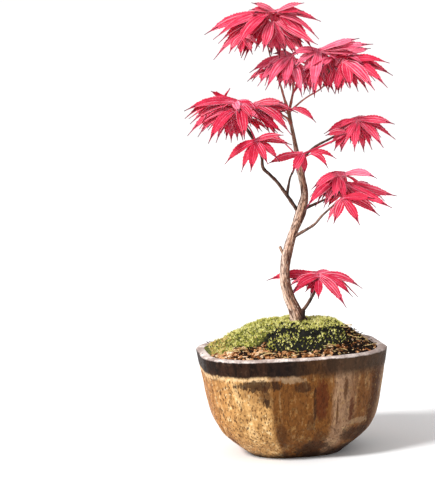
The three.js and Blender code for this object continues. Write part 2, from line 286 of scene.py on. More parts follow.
def joinCopies(name, shapes, places, material, smooth=True):
    # many small copies of a few shapes as one mesh; a place is a shape's number and a matrix in mm
    parts = []
    for kit in shapes:
        kit.verts.ensure_lookup_table()
        parts.append(([v.co.copy() for v in kit.verts], [[v.index for v in f.verts] for f in kit.faces]))
    verts, faces = [], []
    for which, matrix in places:
        corners, loops = parts[which]
        start = len(verts)
        verts.extend(matrix @ co * mm for co in corners)
        faces.extend([start + i for i in loop] for loop in loops)
    mesh = bpy.data.meshes.new(name)
    mesh.from_pydata(verts, [], faces)
    mesh.update()
    placePiece(name, mesh, material, smooth=smooth)


def surfaceOf(node):
    # the CAD node as a tree that rays can hit, in mm
    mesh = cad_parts[node].data
    corners = [v.co / mm for v in mesh.vertices]
    return BVHTree.FromPolygons(corners, [list(p.vertices) for p in mesh.polygons]), corners


def topAt(tree, x, y):
    hit, normal, _, _ = tree.ray_cast(Vector((x, y, 400)), -up)
    return (hit.z, normal) if hit else (None, None)


# half sides against heights, from the foot up; the corners' radius is a share of the half side
bowl = {
    "side": [(24.5, 0.6), (28.5, 3.6), (33.4, 7.6), (38.2, 12.4), (41.2, 17.6), (42.9, 22.5), (44.4, 30),
             (45.7, 38), (46.9, 46), (48, 54.1)],
    "height": 55, "wall": 4.7, "floor": 7, "turn": 8, "depth": 0.84, "footCorner": 0.8, "rimCorner": 0.7,
    "sectors": 480, "row": 0.7, "bandFoot": 46.0, "bandThick": 0.3, "sag": 0.35,
}

glazeTints = {"honey": "b87a40", "straw": "cc9c60", "umber": "72461c", "tan": "98765a", "brown": "764a24",
              "dark": "482810", "burnt": "2e180c", "rust": "4c1e08", "chalk": "9c8264"}
# the glaze round the bowl: a bearing and the tint that it has there
glaze = [(-180, "honey"), (-160, "honey"), (-125, "straw"), (-108, "straw"), (-104, "umber"),
         (-62, "umber"), (-59, "tan"), (-50, "tan"), (-42, "brown"), (-35, "brown"), (-31, "dark"),
         (-26, "dark"), (-17, "tan"), (0, "umber"), (40, "honey"), (80, "brown"), (95, "dark"),
         (110, "honey"), (165, "honey")]
# marks on it: bearing, height, half width in degrees, half height, strength and tint
marks = [(-112, 38, 14, 5, 0.5, "umber"), (-111, 42, 15, 3.4, 1, "burnt"), (-109, 36, 4.5, 5, 0.8, "dark"),
         (-108, 33, 2.5, 2.6, 1, "burnt"), (-89, 44, 8, 2, 0.7, "chalk"), (-82, 40, 9, 2.8, 0.85, "burnt"),
         (-100, 15, 4, 7, 0.8, "dark"), (-76, 21, 3, 4.5, 0.7, "dark"), (-68, 33, 5.5, 12, 0.95, "rust"),
         (-73, 31, 1.3, 9, 0.9, "burnt"), (-57, 25, 0.8, 9, 0.85, "dark"), (-52, 38, 1.5, 7, 0.9, "dark"),
         (-47, 27, 1.8, 8, 0.9, "rust"), (-40, 20, 9, 1.8, 0.55, "chalk"), (-38, 13, 14, 4.5, 0.9, "burnt"),
         (-72, 5, 18, 6, 0.95, "burnt"), (-68, 12, 6, 5, 0.7, "dark"), (-148, 10, 4, 3, 0.9, "rust"),
         (60, 41, 30, 5, 0.9, "burnt"), (130, 42, 24, 5, 0.8, "burnt"), (20, 12, 40, 9, 0.8, "burnt")]


def squareReach(turn, half, share):
    # how far a square with round corners reaches along one bearing
    quarter = math.pi / 2
    off = turn - math.radians(bowl["turn"])
    off = abs(off - quarter * round(off / quarter))
    corner = half * share
    flat = half - corner
    if half * math.tan(off) <= flat:
        return half / math.cos(off)
    along = flat * (math.cos(off) + math.sin(off))
    return along + math.sqrt(along * along - 2 * flat * flat + corner * corner)


def bandEdge(turn):
    # the height where the dark band under the rim ends
    ring = Vector((math.cos(turn), math.sin(turn), 0))
    return bowl["bandFoot"] + 0.9 * noise.noise(ring * 2.3) + 0.45 * noise.noise(ring * 7 + up * 3)


def potRelief(turn, z, outside):
    ring = Vector((math.cos(turn), math.sin(turn), 0))
    wobble = 0.45 * noise.noise(ring * 1.7 + up * z * 0.02) + 0.16 * noise.noise(ring * 6 + up * z * 0.02)
    if not outside:
        return wobble
    band = 1 / (1 + math.exp((bandEdge(turn) - z) * 2.2))
    hollow = 0.2 * noise.noise(ring * 13 + up * z * 0.12)
    pits = max(0, noise.noise(Vector((ring.x * 36, ring.y * 36, z * 0.6))) - 0.25) * 1.1
    return wobble + bowl["bandThick"] * band + hollow - pits * (1 - 0.8 * band)


def potProfile():
    side = bendThrough([Vector((half, 0, z)) for half, z in bowl["side"]], bowl["row"])
    top, wall = bowl["height"], bowl["wall"]
    rim = [Vector((bowl["side"][-1][0] - wall * t, 0, top - 0.7 * abs(2 * t - 1) ** 4))
           for t in (0.03, 0.08, 0.15, 0.24, 0.34, 0.44, 0.54, 0.64, 0.74, 0.84, 0.92, 0.97)]
    inside = [Vector((p.x - wall, 0, p.z - 0.3)) for p in reversed(side) if p.z > bowl["floor"] + 2]
    inside = inside[:16] + inside[16::5]
    foot = [Vector((24 * t, 0, 0)) for t in (0, 0.3, 0.6, 0.85, 0.97, 1)]
    floor = [Vector((inside[-1].x * t, 0, bowl["floor"])) for t in (0.9, 0.5, 0)]
    return foot + side + rim + inside + floor, len(foot), len(foot) + len(side)


def makePot():
    profile, first, last = potProfile()
    kit = bmesh.new()
    rowOf = kit.verts.layers.int.new("row")
    verts = [kit.verts.new(place) for place in profile]
    edges = [kit.edges.new(pair) for pair in zip(verts, verts[1:])]
    for row, vert in enumerate(verts):
        vert[rowOf] = row
    bmesh.ops.spin(kit, geom=verts + edges, cent=(0, 0, 0), axis=(0, 0, 1), angle=2 * math.pi,
                   steps=bowl["sectors"], use_merge=True)
    bmesh.ops.remove_doubles(kit, verts=kit.verts, dist=1e-4)
    for vert in kit.verts:
        x, y, z = vert.co
        half = math.hypot(x, y)
        if half < 0.01:
            continue
        turn = math.atan2(y, x)
        share = bowl["footCorner"] + (bowl["rimCorner"] - bowl["footCorner"]) * z / bowl["height"]
        reach = squareReach(turn, half, share)
        reach += potRelief(turn, z, first <= vert[rowOf] < last) * min(1, z / 4)
        # the rim is not quite level
        z += bowl["sag"] * noise.noise(Vector((x, y, 0)) * 0.05) * max(0, z / bowl["height"]) ** 6
        vert.co = Vector((reach * math.cos(turn), bowl["depth"] * reach * math.sin(turn), z))
    makePiece("glazedBowl", kit, potFinish(), ["pot"])


def potFinish():
    pot = Finish("fireGlaze")
    x, y, z = pot.parts(pot.place)
    high = z / mm
    drawn = pot.stretched((1, 1, 0.2))
    long = pot.noise(90, 4, drawn)
    fine = pot.noise(420, 5, drawn, 0.65)
    mottle = pot.noise(330, 5, None, 0.7)
    turn = y.sum("ARCTAN2", y, x) / (2 * math.pi) + 0.5
    shifted = turn + (long - 0.5) * 0.024 + (fine - 0.5) * 0.012
    stops = [((bearing + 180) / 360, glazeTints[tint]) for bearing, tint in glaze]
    colour = pot.node("ShaderNodeValToRGB", {"stops": stops}, {0: shifted})
    # lit is 1 on the bright glaze of the left side, which faces the sun, and 0 on the darker rest; where it
    # is 1, pale spots are painted stronger as painted highlights and pits darker as painted shade
    edge = turn + (long - 0.5) * 0.02
    lit = pot.fade(edge, 0.21, 0.196) + pot.fade(edge, 0.86, 0.9)
    runs = pot.noise(260, 5, pot.stretched((1, 1, 0.16)), 0.7)
    streaks = pot.noise(900, 4, pot.stretched((1, 1, 0.1)), 0.6)
    # runs, streaks and mottles of the glaze; the pale runs and pale spots also carry painted highlights,
    # stronger where lit is 1
    colour = pot.mix(pot.fade(runs, 0.5, 0.68) * 0.45, colour, paint("4e2c14"))
    colour = pot.mix(pot.fade(runs, 0.48, 0.34) * (0.2 + lit * 0.4), colour, paint("f0cc94"))
    colour = pot.mix(pot.fade(streaks, 0.5, 0.7) * (0.6 - lit * 0.2), colour, paint("54300f"))
    colour = pot.mix(pot.fade(mottle, 0.5, 0.64) * (0.25 + lit * 0.2), colour, paint("6c4220"))
    paleSpotAndHighlight = pot.mix(lit, paint("b89058"), paint("ffe4b0"))
    colour = pot.mix(pot.fade(mottle, 0.46, 0.34) * (0.35 + lit * 0.25), colour, paleSpotAndHighlight)
    # short slanting pits, dark in the glaze and painted darker where lit is 1, as painted shade in the raking
    # sun
    sockets = {"Vector": pot.place, "Rotation": (0, 0.42, 0), "Scale": (1, 1, 0.36)}
    slant = pot.node("ShaderNodeMapping", {}, sockets)
    dashes = pot.fade(pot.cells(820, "F1", slant) + (fine - 0.5) * 0.6, 0.3, 0.16)
    colour = pot.mix(dashes * (0.3 + lit * 0.55), colour, paint("4a2610"))
    # round pits, also painted darker where lit is 1, as painted shade
    pits = pot.noise(760, 5, pot.stretched((1, 1, 0.4)), 0.7)
    pitted = pot.fade(pits, 0.55, 0.64)
    colour = pot.mix(pitted * (0.35 + lit * 0.3), colour, paint("4a2a12"))
    for bearing, height, wide, tall, strength, tint in marks:
        # a ragged oval: away is its squared distance from the mark's middle, in half widths
        across = (turn - (bearing + 180) / 360) * (360 / wide)
        above = (high - height) / tall
        away = across * across + above * above + (runs - 0.5) * 3.2 + (mottle - 0.5) * 2.4 + (pits - 0.5) * 3
        colour = pot.mix(pot.fade(away, 1.15, 0.5) * (0.88 * strength), colour, paint(glazeTints[tint]))
    # painted shade: darker towards the foot, and higher up on the right, away from the light
    low = pot.fade(high + (long - 0.5) * 10 + (runs - 0.5) * 6 - pot.fade(x / mm, 0, 34) * 5, 4.5, 0)
    colour = pot.mix(low * 0.85, colour, paint("2c1a12"))
    # a pale line of thin glaze, then the dark band under the rim
    lip = pot.fade(high + (fine - 0.5) * 2.4, 43.6, 44.8) * pot.fade(high + (fine - 0.5) * 2.4, 47.4, 46.2)
    # the pale line is painted lighter where lit is 1, as painted light
    thin = pot.mix(lit, paint("9c8064"), paint("e6c496"))
    lip = lip * pot.fade(x / mm + (long - 0.5) * 20, 12, 2)
    colour = pot.mix(lip * pot.fade(mottle, 0.4, 0.55) * 0.8, colour, thin)
    ragged = high + (pot.noise(60, 3) - 0.5) * 3 + (fine - 0.5) * 3
    smoky = pot.fade(ragged, 42.5, 48.5) * pot.fade(x / mm, -2, 22)
    band = pot.fade(ragged, 45.2, 47) * (1 - pot.fade(x / mm, -2, 22) * 0.4)
    band = band.sum("MAXIMUM", band, smoky)  # smoky is its wider haze on the right
    burnt = pot.mix(pot.fade(fine, 0.38, 0.64), paint("160a04"), paint("341e12"))
    burnt = pot.mix(pot.fade(mottle, 0.52, 0.68) * 0.4, burnt, paint("5c4434"))
    burnt = pot.mix(pot.fade(x / mm + (long - 0.5) * 30, 6, 30) * 0.4, burnt, paint("5e4632"))
    middle = pot.fade(x / mm + (long - 0.5) * 20, -18, -8) * pot.fade(x / mm + (long - 0.5) * 20, 18, 4)
    burnt = pot.mix(middle * 0.6, burnt, paint("140c0a"))
    colour = pot.mix(band, colour, burnt)
    # the rim worn pale
    worn = pot.fade(high + (mottle - 0.5) * 1.2 + (long - 0.5), 53.7, 54.4)
    bare = pot.mix(pot.fade(pot.noise(150, 4), 0.35, 0.65), paint("b09c94"), paint("f6e8e0"))
    bare = pot.mix(pot.fade(x / mm, 10, 46) * 0.6, bare, paint("80706a"))
    colour = pot.mix(worn * 0.92, colour, bare)
    height = mottle * 0.5 - pitted * 0.6 - dashes * 0.9 + runs * 0.5
    rough = 0.42 + mottle * 0.25 + worn * 0.2
    return pot.done({"Base Color": colour, "Roughness": rough, "Normal": pot.bump(height, 0.4, 0.9),
                     "Specular IOR Level": 0.1})


makePot()


soilLook = {"lump": 0.5, "grains": 1100, "crumbs": 2200, "straws": 220, "pale": 40,
            "edge": 53.6, "bank": 0.36, "bankTop": 59.5}
mossLook = {
    "slopes": {"left": 0.46, "right": 0.85, "front": 3.2},
    "skirt": 260,                        # how far the slopes run, squared
    "foot": 5.3, "bare": 2.6,            # the trunk's foot: its x, and how near to it no tuft stands
    "collar": 68.6,                      # the moss's height round the foot, where the CAD leaves a hole
    "saddle": (-21, 9, 1.5),             # a dip across the left: its x, half width and depth
    "rightEnd": 29,                      # beyond this x the moss thins out and the soil shows
    "cushion": 6.5, "rise": 1.1, "spacing": 0.82, "tall": (0.9, 1.7), "groove": 3.2, "thin": 0.12,
    # the cleft between the crown of the mound and the lower lump before it
    "cleft": [(-16, -29), (-12, -23), (-6, -20), (4, -21), (8, -23), (16, -20), (28, -7)],
}
soilTree = surfaceOf("soil")[0]
mossTree = surfaceOf("moss")[0]


def soilHeight(x, y):
    # as in the CAD, and never lower than a bank that rises from just under the rim
    height, _ = topAt(soilTree, x, y)
    across = y / bowl["depth"]
    edge = squareReach(math.atan2(across, x), bowl["side"][-1][0] - bowl["wall"], bowl["rimCorner"])
    bank = soilLook["edge"] + soilLook["bank"] * max(0, edge - math.hypot(x, across))
    return max(height or 0, min(bank, soilLook["bankTop"]))


def mossMap():
    # the moss's heights on a square grid: as in the CAD, with slopes down from its edge on to the soil
    reach = 50
    heights = {}
    for i in range(-reach, reach + 1):
        for j in range(-reach, reach + 1):
            height, _ = topAt(mossTree, i, j)
            if height:
                heights[i, j] = height
    hole = [(i, j) for i in range(-4, 15) for j in range(-9, 10) if (i, j) not in heights]
    for i, j in hole:
        heights[i, j] = mossLook["collar"]
    edge = [(i, j) for i, j in heights
            if any((i + a, j + b) not in heights for a, b in ((1, 0), (-1, 0), (0, 1), (0, -1)))]
    spread = dict(heights)
    for i in range(-reach, reach + 1):
        for j in range(-reach, reach + 1):
            if (i, j) in heights:
                continue
            best = 0
            for p, q in edge:
                dx, dy = i - p, j - q
                away = dx * dx + dy * dy
                if away < mossLook["skirt"]:
                    sideways = mossLook["slopes"]["left" if dx < 0 else "right"]
                    slope = (sideways * dx * dx + mossLook["slopes"]["front"] * dy * dy) / away
                    best = max(best, heights[p, q] - slope * math.sqrt(away))
            spread[i, j] = best
    smooth = {}
    saddle, breadth, dip = mossLook["saddle"]
    for i in range(-reach + 2, reach - 1):
        for j in range(-reach + 2, reach - 1):
            around = [spread[i + a, j + b] for a in (-2, -1, 0, 1, 2) for b in (-2, -1, 0, 1, 2)]
            smooth[i, j] = sum(around) / len(around) - dip * math.exp(-((i - saddle) / breadth) ** 2)
    return smooth


mossHeights = mossMap()


def cushion(x, y):
    # 1 on the crown of a moss cushion and 0 in the cleft between two
    spot = Vector((x, y, 0))
    place = spot / mossLook["cushion"] + Vector((0.2, 0.1, 0)) * noise.noise(spot * 0.16)
    near, far, *_ = noise.voronoi(place, distance_metric="DISTANCE")[0]
    return min(1, max(0, (far - near) * 2.1)) ** 0.6


def aheadOfCleft(x, y):
    # how far before the cleft a place is; below zero behind it, and far below zero beside it
    line = mossLook["cleft"]
    if not line[0][0] < x < line[-1][0]:
        return -9
    k = next(k for k in range(1, len(line)) if line[k][0] >= x)
    (a, low), (b, high) = line[k - 1], line[k]
    return low + (high - low) * (x - a) / (b - a) - y


def cleftGap(x, y):
    # how far a place is from the cleft, as a share of the cleft's half width
    best = 99
    line = mossLook["cleft"]
    for (a, b), (c, d) in zip(line, line[1:]):
        share = ((x - a) * (c - a) + (y - b) * (d - b)) / ((c - a) ** 2 + (d - b) ** 2)
        share = min(1, max(0, share))
        best = min(best, math.hypot(a + share * (c - a) - x, b + share * (d - b) - y))
    return best / (1.7 if x < -8 else 0.9)


def mossHeight(x, y):
    i, j = math.floor(x), math.floor(y)
    u, v = x - i, y - j
    if (i, j) not in mossHeights or (i + 1, j + 1) not in mossHeights:
        return 0
    low = mossHeights[i, j] * (1 - u) + mossHeights[i + 1, j] * u
    high = mossHeights[i, j + 1] * (1 - u) + mossHeights[i + 1, j + 1] * u
    groove = mossLook["groove"] * math.exp(-cleftGap(x, y) ** 2)
    return low * (1 - v) + high * v + mossLook["rise"] * (cushion(x, y) - 0.75) - groove


def mossNormal(x, y):
    across = mossHeight(x + 0.7, y) - mossHeight(x - 0.7, y)
    along = mossHeight(x, y + 0.7) - mossHeight(x, y - 0.7)
    return Vector((-across / 1.4, -along / 1.4, 1)).normalized()


def insideBowl(x, y, margin):
    half = bowl["side"][-1][0] - bowl["wall"] - margin
    y /= bowl["depth"]
    return math.hypot(x, y) < squareReach(math.atan2(y, x), half, bowl["rimCorner"])


def groundPiece(name, heightAt, depth, material, replaced):
    # a field of heights over the bowl's mouth, closed below
    kit = bmesh.new()
    count = 150
    bmesh.ops.create_grid(kit, x_segments=count, y_segments=count, size=0.5)
    lost = []
    for vert in kit.verts:
        x, y = vert.co.x * 96, vert.co.y * 96
        height = heightAt(x, y)
        if height is None or not insideBowl(x, y, -1.2):
            lost.append(vert)
        else:
            vert.co = Vector((x, y, height))
    bmesh.ops.delete(kit, geom=lost, context="VERTS")
    made = bmesh.ops.extrude_face_region(kit, geom=kit.faces[:])["geom"]
    under = [item for item in made if isinstance(item, bmesh.types.BMVert)]
    for vert in under:
        vert.co.z -= depth
    makePiece(name, kit, material, replaced)


def plainFinish(name, dark, light, scale, roughness=0.9, depth=0.2):
    plain = Finish(name)
    spots = plain.noise(scale, 4)
    colour = plain.mix(plain.fade(spots, 0.36, 0.66), paint(dark), paint(light))
    rough = plain.noise(scale * 3, 3)
    relief = plain.bump(rough + spots, depth)
    return plain.done({"Base Color": colour, "Roughness": roughness, "Normal": relief,
                       "Specular IOR Level": 0.12})


def lumpShape(luck, sides, squash):
    # a broken grain: a small ball pressed out of true
    kit = bmesh.new()
    bmesh.ops.create_icosphere(kit, subdivisions=sides, radius=0.5)
    away = Vector((luck.uniform(0, 9), luck.uniform(0, 9), luck.uniform(0, 9)))
    for vert in kit.verts:
        vert.co *= 1 + 0.45 * noise.noise(vert.co * 3.1 + away) + luck.uniform(-0.07, 0.07)
        vert.co.z *= squash
    return kit


def strawShape(luck):
    kit = bmesh.new()
    bmesh.ops.create_cone(kit, cap_ends=True, segments=5, radius1=0.5, radius2=0.3, depth=1)
    sides = [e for e in kit.edges if abs(e.verts[0].co.z - e.verts[1].co.z) > 0.5]
    bmesh.ops.subdivide_edges(kit, edges=sides, cuts=3)
    bow = luck.uniform(-0.16, 0.16)
    for vert in kit.verts:
        vert.co.x = vert.co.x * 0.12 + bow * (1 - 4 * vert.co.z ** 2)
        vert.co.y *= 0.09
    bmesh.ops.rotate(kit, cent=(0, 0, 0), matrix=Matrix.Rotation(math.pi / 2, 3, "Y"), verts=kit.verts)
    return kit


def spun(luck, place, size, tilt=3.2):
    turn = Matrix.Rotation(luck.uniform(0, 6.28), 4, "Z") @ Matrix.Rotation(luck.uniform(-tilt, tilt), 4, "X")
    return Matrix.Translation(place) @ turn @ Matrix.Diagonal((*size, 1))


def makeSoil():
    def lumpy(x, y):
        return soilHeight(x, y) + soilLook["lump"] * noise.noise(Vector((x, y, 0)) * 0.4) - 0.5

    finish = plainFinish("soilBed", "120803", "3c200e", 420, 0.95, 0.5)
    groundPiece("soilBed", lumpy, 4, finish, ["soil"])
    luck = random.Random(21)

    def bareSpots(count, margin):
        spots = []
        while len(spots) < count:
            x, y = luck.uniform(-50, 50), luck.uniform(-50, 50)
            bare = mossHeight(x, y) - soilHeight(x, y) < 0.9
            if insideBowl(x, y, margin) and (bare or x > mossLook["rightEnd"]):
                spots.append(Vector((x, y, max(soilHeight(x, y), mossHeight(x, y) - 0.4))))
        return spots

    grains = [lumpShape(luck, 2, luck.uniform(0.6, 0.9)) for _ in range(5)]
    crumbs = [lumpShape(luck, 1, luck.uniform(0.6, 0.9)) for _ in range(5)]
    straws = [strawShape(luck) for _ in range(4)]
    # tints, and how common each is at the left end, the middle and the right end
    kinds = {
        "Clay": ("9c683c", "e0ac7c", (5, 3.6, 0.4)), "Rust": ("643818", "9a6238", (2, 3, 2)),
        "Buff": ("cca47c", "f4dcbc", (4, 1.4, 0.4)), "Black": ("0c0603", "241610", (1, 4, 8)),
    }
    names = list(kinds)
    heaps = {name: [] for name in names}

    def anyKind(x):
        part = 0 if x < -26 else 1 if x < 22 else 2
        return luck.choices(names, [kinds[name][2][part] for name in names])[0]

    for place in bareSpots(soilLook["grains"], 0.8):
        size = luck.uniform(1.3, 3.1)
        stretch = [size * luck.uniform(*share) for share in ((0.9, 1.6), (0.6, 0.9), (0.5, 0.8))]
        place.z += 0.12 * size
        heaps[anyKind(place.x)].append((luck.randrange(5), spun(luck, place, stretch, 0.5)))
    for _ in range(soilLook["pale"]):
        # a heap of pale grains at the mouth of the cleft
        x, y = luck.gauss(-16.5, 1.6), luck.gauss(-30.5, 1.2)
        place = Vector((x, y, max(soilHeight(x, y), mossHeight(x, y)) + luck.uniform(-0.2, 1)))
        heaps["Buff" if luck.random() < 0.6 else "Clay"].append(
            (luck.randrange(5), spun(luck, place, [luck.uniform(1, 2.2)] * 3)))
    for place in bareSpots(soilLook["crumbs"], 0.4):
        size = luck.uniform(0.5, 1.3)
        place.z += luck.uniform(0, 0.9)
        heaps[anyKind(place.x)].append((5 + luck.randrange(5), spun(luck, place, [size] * 3)))
    for name, (dark, light, _) in kinds.items():
        joinCopies("grains" + name, grains + crumbs, heaps[name],
                   plainFinish("grain" + name, dark, light, 1100), smooth=False)
    lying = []
    for place in bareSpots(soilLook["straws"], 1.5):
        place.z += luck.uniform(0.8, 1.8)
        length = luck.uniform(3, 8)
        lying.append((luck.randrange(4), spun(luck, place, (length, length * 0.6, length * 0.6), 0.35)))
    joinCopies("straws", straws, lying[::2], plainFinish("straw", "b08a50", "ead29a", 900))
    joinCopies("darkStraws", straws, lying[1::2], plainFinish("darkStraw", "1c110a", "4a3220", 900))


makeSoil()


def tuftShape(luck):
    # a rosette of small pointed leaves
    kit = bmesh.new()
    leaves = 5
    for i in range(leaves):
        turn = i / leaves * 2 * math.pi + luck.uniform(-0.3, 0.3)
        lean = luck.uniform(0.35, 0.95) if i else 0.05
        made = bmesh.ops.create_cone(kit, cap_ends=True, segments=3, radius1=0.2, radius2=0, depth=1)["verts"]
        bmesh.ops.translate(kit, vec=(0, 0, 0.5), verts=made)
        bmesh.ops.scale(kit, vec=(1, 0.5, luck.uniform(0.7, 1.1)), verts=made)
        bmesh.ops.rotate(kit, cent=(0, 0, 0), matrix=Matrix.Rotation(lean, 3, "X"), verts=made)
        bmesh.ops.rotate(kit, cent=(0, 0, 0), matrix=Matrix.Rotation(turn, 3, "Z"), verts=made)
    return kit


def mossKind(x, y, luck):
    # which tint a tuft has: straw at the left end; elsewhere painted light and shade, bright on the crown and
    # dark in the hollows, in the cleft and before it, around one spot in front of the foot and towards the
    # right end, with random patches
    if -x + 4 * noise.noise(Vector((x, y, 9)) * 0.15) + luck.uniform(-4, 4) > 31:
        return luck.choices(["Straw", "Bright", "Green"], [8, 2, 1])[0]
    ahead = aheadOfCleft(x, y)
    right = min(1, max(0, (x - 26) / 4))
    shadeAndPatches = 0.4 * (0.5 - cushion(x, y)) + 0.6 * noise.noise(Vector((x, y, 3)) * 0.2)
    if ahead > -0.8:
        shadeAndPatches += 0.95 if x > 5 else 0.3
    if cleftGap(x, y) < 1.9:
        shadeAndPatches += 0.8
    shadeAndPatches += 1.3 * math.exp(-((x - 8) ** 2 + (y + 6) ** 2) / 24)
    shadeAndPatches = max(shadeAndPatches, right)
    weights = {"Bright": max(0.12, 0.6 - 0.7 * shadeAndPatches), "Green": 0.38 - 0.16 * min(1, max(0, shadeAndPatches)),
               "Dark": max(0.02, 0.08 + 0.7 * shadeAndPatches), "Straw": 0.02 + 0.14 * right}
    return luck.choices(list(weights), list(weights.values()))[0]


def mossBedFinish():
    bed = Finish("mossBed")
    x, y, _ = bed.parts(bed.place)
    grain = bed.noise(700, 4)
    pale = bed.mix(bed.fade(grain, 0.36, 0.64), paint("2c2e10"), paint("6e7028"))
    black = bed.mix(bed.fade(grain, 0.36, 0.64), paint("060402"), paint("16140a"))
    # painted shade: the bed turns black in the cleft and towards the front right
    shade = bed.fade(x / mm + (bed.noise(90) - 0.5) * 12 - y / mm, 5, 11)
    colour = bed.mix(shade, pale, black)
    return bed.done({"Base Color": colour, "Roughness": 1.0, "Normal": bed.bump(grain, 0.4)})


def makeMoss():
    def bed(x, y):
        height = mossHeight(x, y)
        return height - 0.5 if height > soilHeight(x, y) - 0.4 else None

    groundPiece("mossBed", bed, 3, mossBedFinish(), ["moss"])
    luck = random.Random(8)
    tufts = [tuftShape(luck) for _ in range(4)]
    # the Bright and Dark tufts paint the moss's light and shade as well as its own tints
    kinds = {
        "Bright": ("d2ce68", "fffab8"), "Green": ("94963e", "cac866"), "Dark": ("121204", "40400f"),
        "Straw": ("bca050", "f0dc9c"),
    }
    tallness = {"Bright": 1.12, "Green": 1.0, "Dark": 0.8, "Straw": 1.0}
    heaps = {name: [] for name in kinds}
    step = mossLook["spacing"]
    count = round(50 / step)
    for i in range(-count, count + 1):
        for j in range(-count, count + 1):
            x, y = (i + luck.uniform(-0.5, 0.5)) * step, (j + luck.uniform(-0.5, 0.5)) * step
            height = mossHeight(x, y)
            buried = height < soilHeight(x, y) + 0.1
            atFoot = math.hypot(x - mossLook["foot"], y) < mossLook["bare"]
            if buried or atFoot or not insideBowl(x, y, 0.8):
                continue
            normal = mossNormal(x, y)
            name = mossKind(x, y, luck)
            thin = 0.5 if x > mossLook["rightEnd"] else mossLook["thin"]
            if luck.random() < thin or cleftGap(x, y) < 0.9:
                continue
            tall = luck.uniform(*mossLook["tall"]) * tallness[name] * (0.75 + 0.35 * cushion(x, y))
            wide = tall * luck.uniform(0.7, 0.95)
            stand = (normal + up * 0.5).to_track_quat("Z", "Y").to_matrix().to_4x4()
            turn = Matrix.Rotation(luck.uniform(0, 6.28), 4, "Z")
            stand = Matrix.Translation((x, y, height - 0.6)) @ stand @ turn
            heaps[name].append((luck.randrange(4), stand @ Matrix.Diagonal((wide, wide, tall, 1))))
    for name, (dark, light) in kinds.items():
        finish = plainFinish("moss" + name, dark, light, 500, 0.9, 0.05)
        joinCopies("moss" + name, tufts, heaps[name], finish, smooth=False)


makeMoss()


trunkLook = {"rows": 0.45, "sides": 56, "fibre": 0.2, "groove": 0.3, "rootLobes": 5, "lobe": 0.16,
             "knot": 0.06, "slim": 0.22}

# root: a height on the trunk, or another bough and a share of it; then bends, tip and two radii
boughs = {
    "stub": (101.7, [(-1.6, 0.6, 104.6)], (-2.9, 0.5, 107.7), (1.1, 0.8)),
    "bough_basal": (70.9, [(8.4, 0, 74.4), (11, 1, 77.7), (14.3, 3, 82.7)], (16.5, 5, 87.8), (1.2, 0.75)),
    "bough_right_low": (111.8, [(11.3, -4, 116.2), (15.7, -7, 119.1), (20.1, -10, 123.9)],
                        (26.8, -13.5, 129.7), (1.0, 0.55)),
    "bough_right_mid": (126.3, [(19.4, 1, 130.1), (23.9, 2, 132.1)], (30.9, 3.5, 137.6), (0.95, 0.45)),
    "bough_left": (124.3, [(1.9, -3, 134.8), (-2.1, -5, 141), (-6.1, -6, 145.6), (-9.5, -7, 149.5),
                           (-10, -8, 155.9), (-13.4, -9, 164.5)], (-21.7, -8.5, 176.9), (1.2, 0.7)),
    "bough_centre": (("bough_left", 0.2), [(4.2, -4.6, 143.4), (6.2, -6.5, 147.4)], (8.5, -9, 153.5),
                     (0.75, 0.5)),
    "bough_right_high": (151.3, [(15.2, 0, 156.7), (19.5, 1, 159.6), (25.1, 2, 162.1)],
                         (34.4, 4.5, 166.5), (0.9, 0.55)),
    "bough_left_inner": (171.5, [(3.6, -1, 174.6)], (-1.6, -2.4, 177.9), (0.7, 0.45)),
    "bough_crown_left": (177, [(3, -0.5, 185.2), (1.4, -0.5, 191.8), (-1, 0, 199.3), (-3.2, 1, 207.3)],
                         (-5, 2.5, 217.1), (0.8, 0.36)),
    "bough_crown_middle": (177, [(6.9, 2.2, 183.5), (8.1, 2, 190.4)], (6.6, 0, 200.5), (0.8, 0.5)),
    "bough_crown_right": (177, [(13.8, -2.4, 183.8), (22.6, -3, 188.8)], (28.9, 0, 196.3), (0.52, 0.4)),
    "bough_back_high": (("bough_crown_right", 0.75), [(26.8, 5, 192.9)], (30.6, 14, 198.2), (0.6, 0.45)),
    "bough_back_left": (("bough_left", 0.78), [(-15.6, -1, 168.1)], (-21.6, 13, 175.9), (0.7, 0.45)),
    "bough_back_right": (("bough_right_mid", 0.7), [(28.7, 10, 133.7)], (35.5, 22, 136.9), (0.75, 0.5)),
}


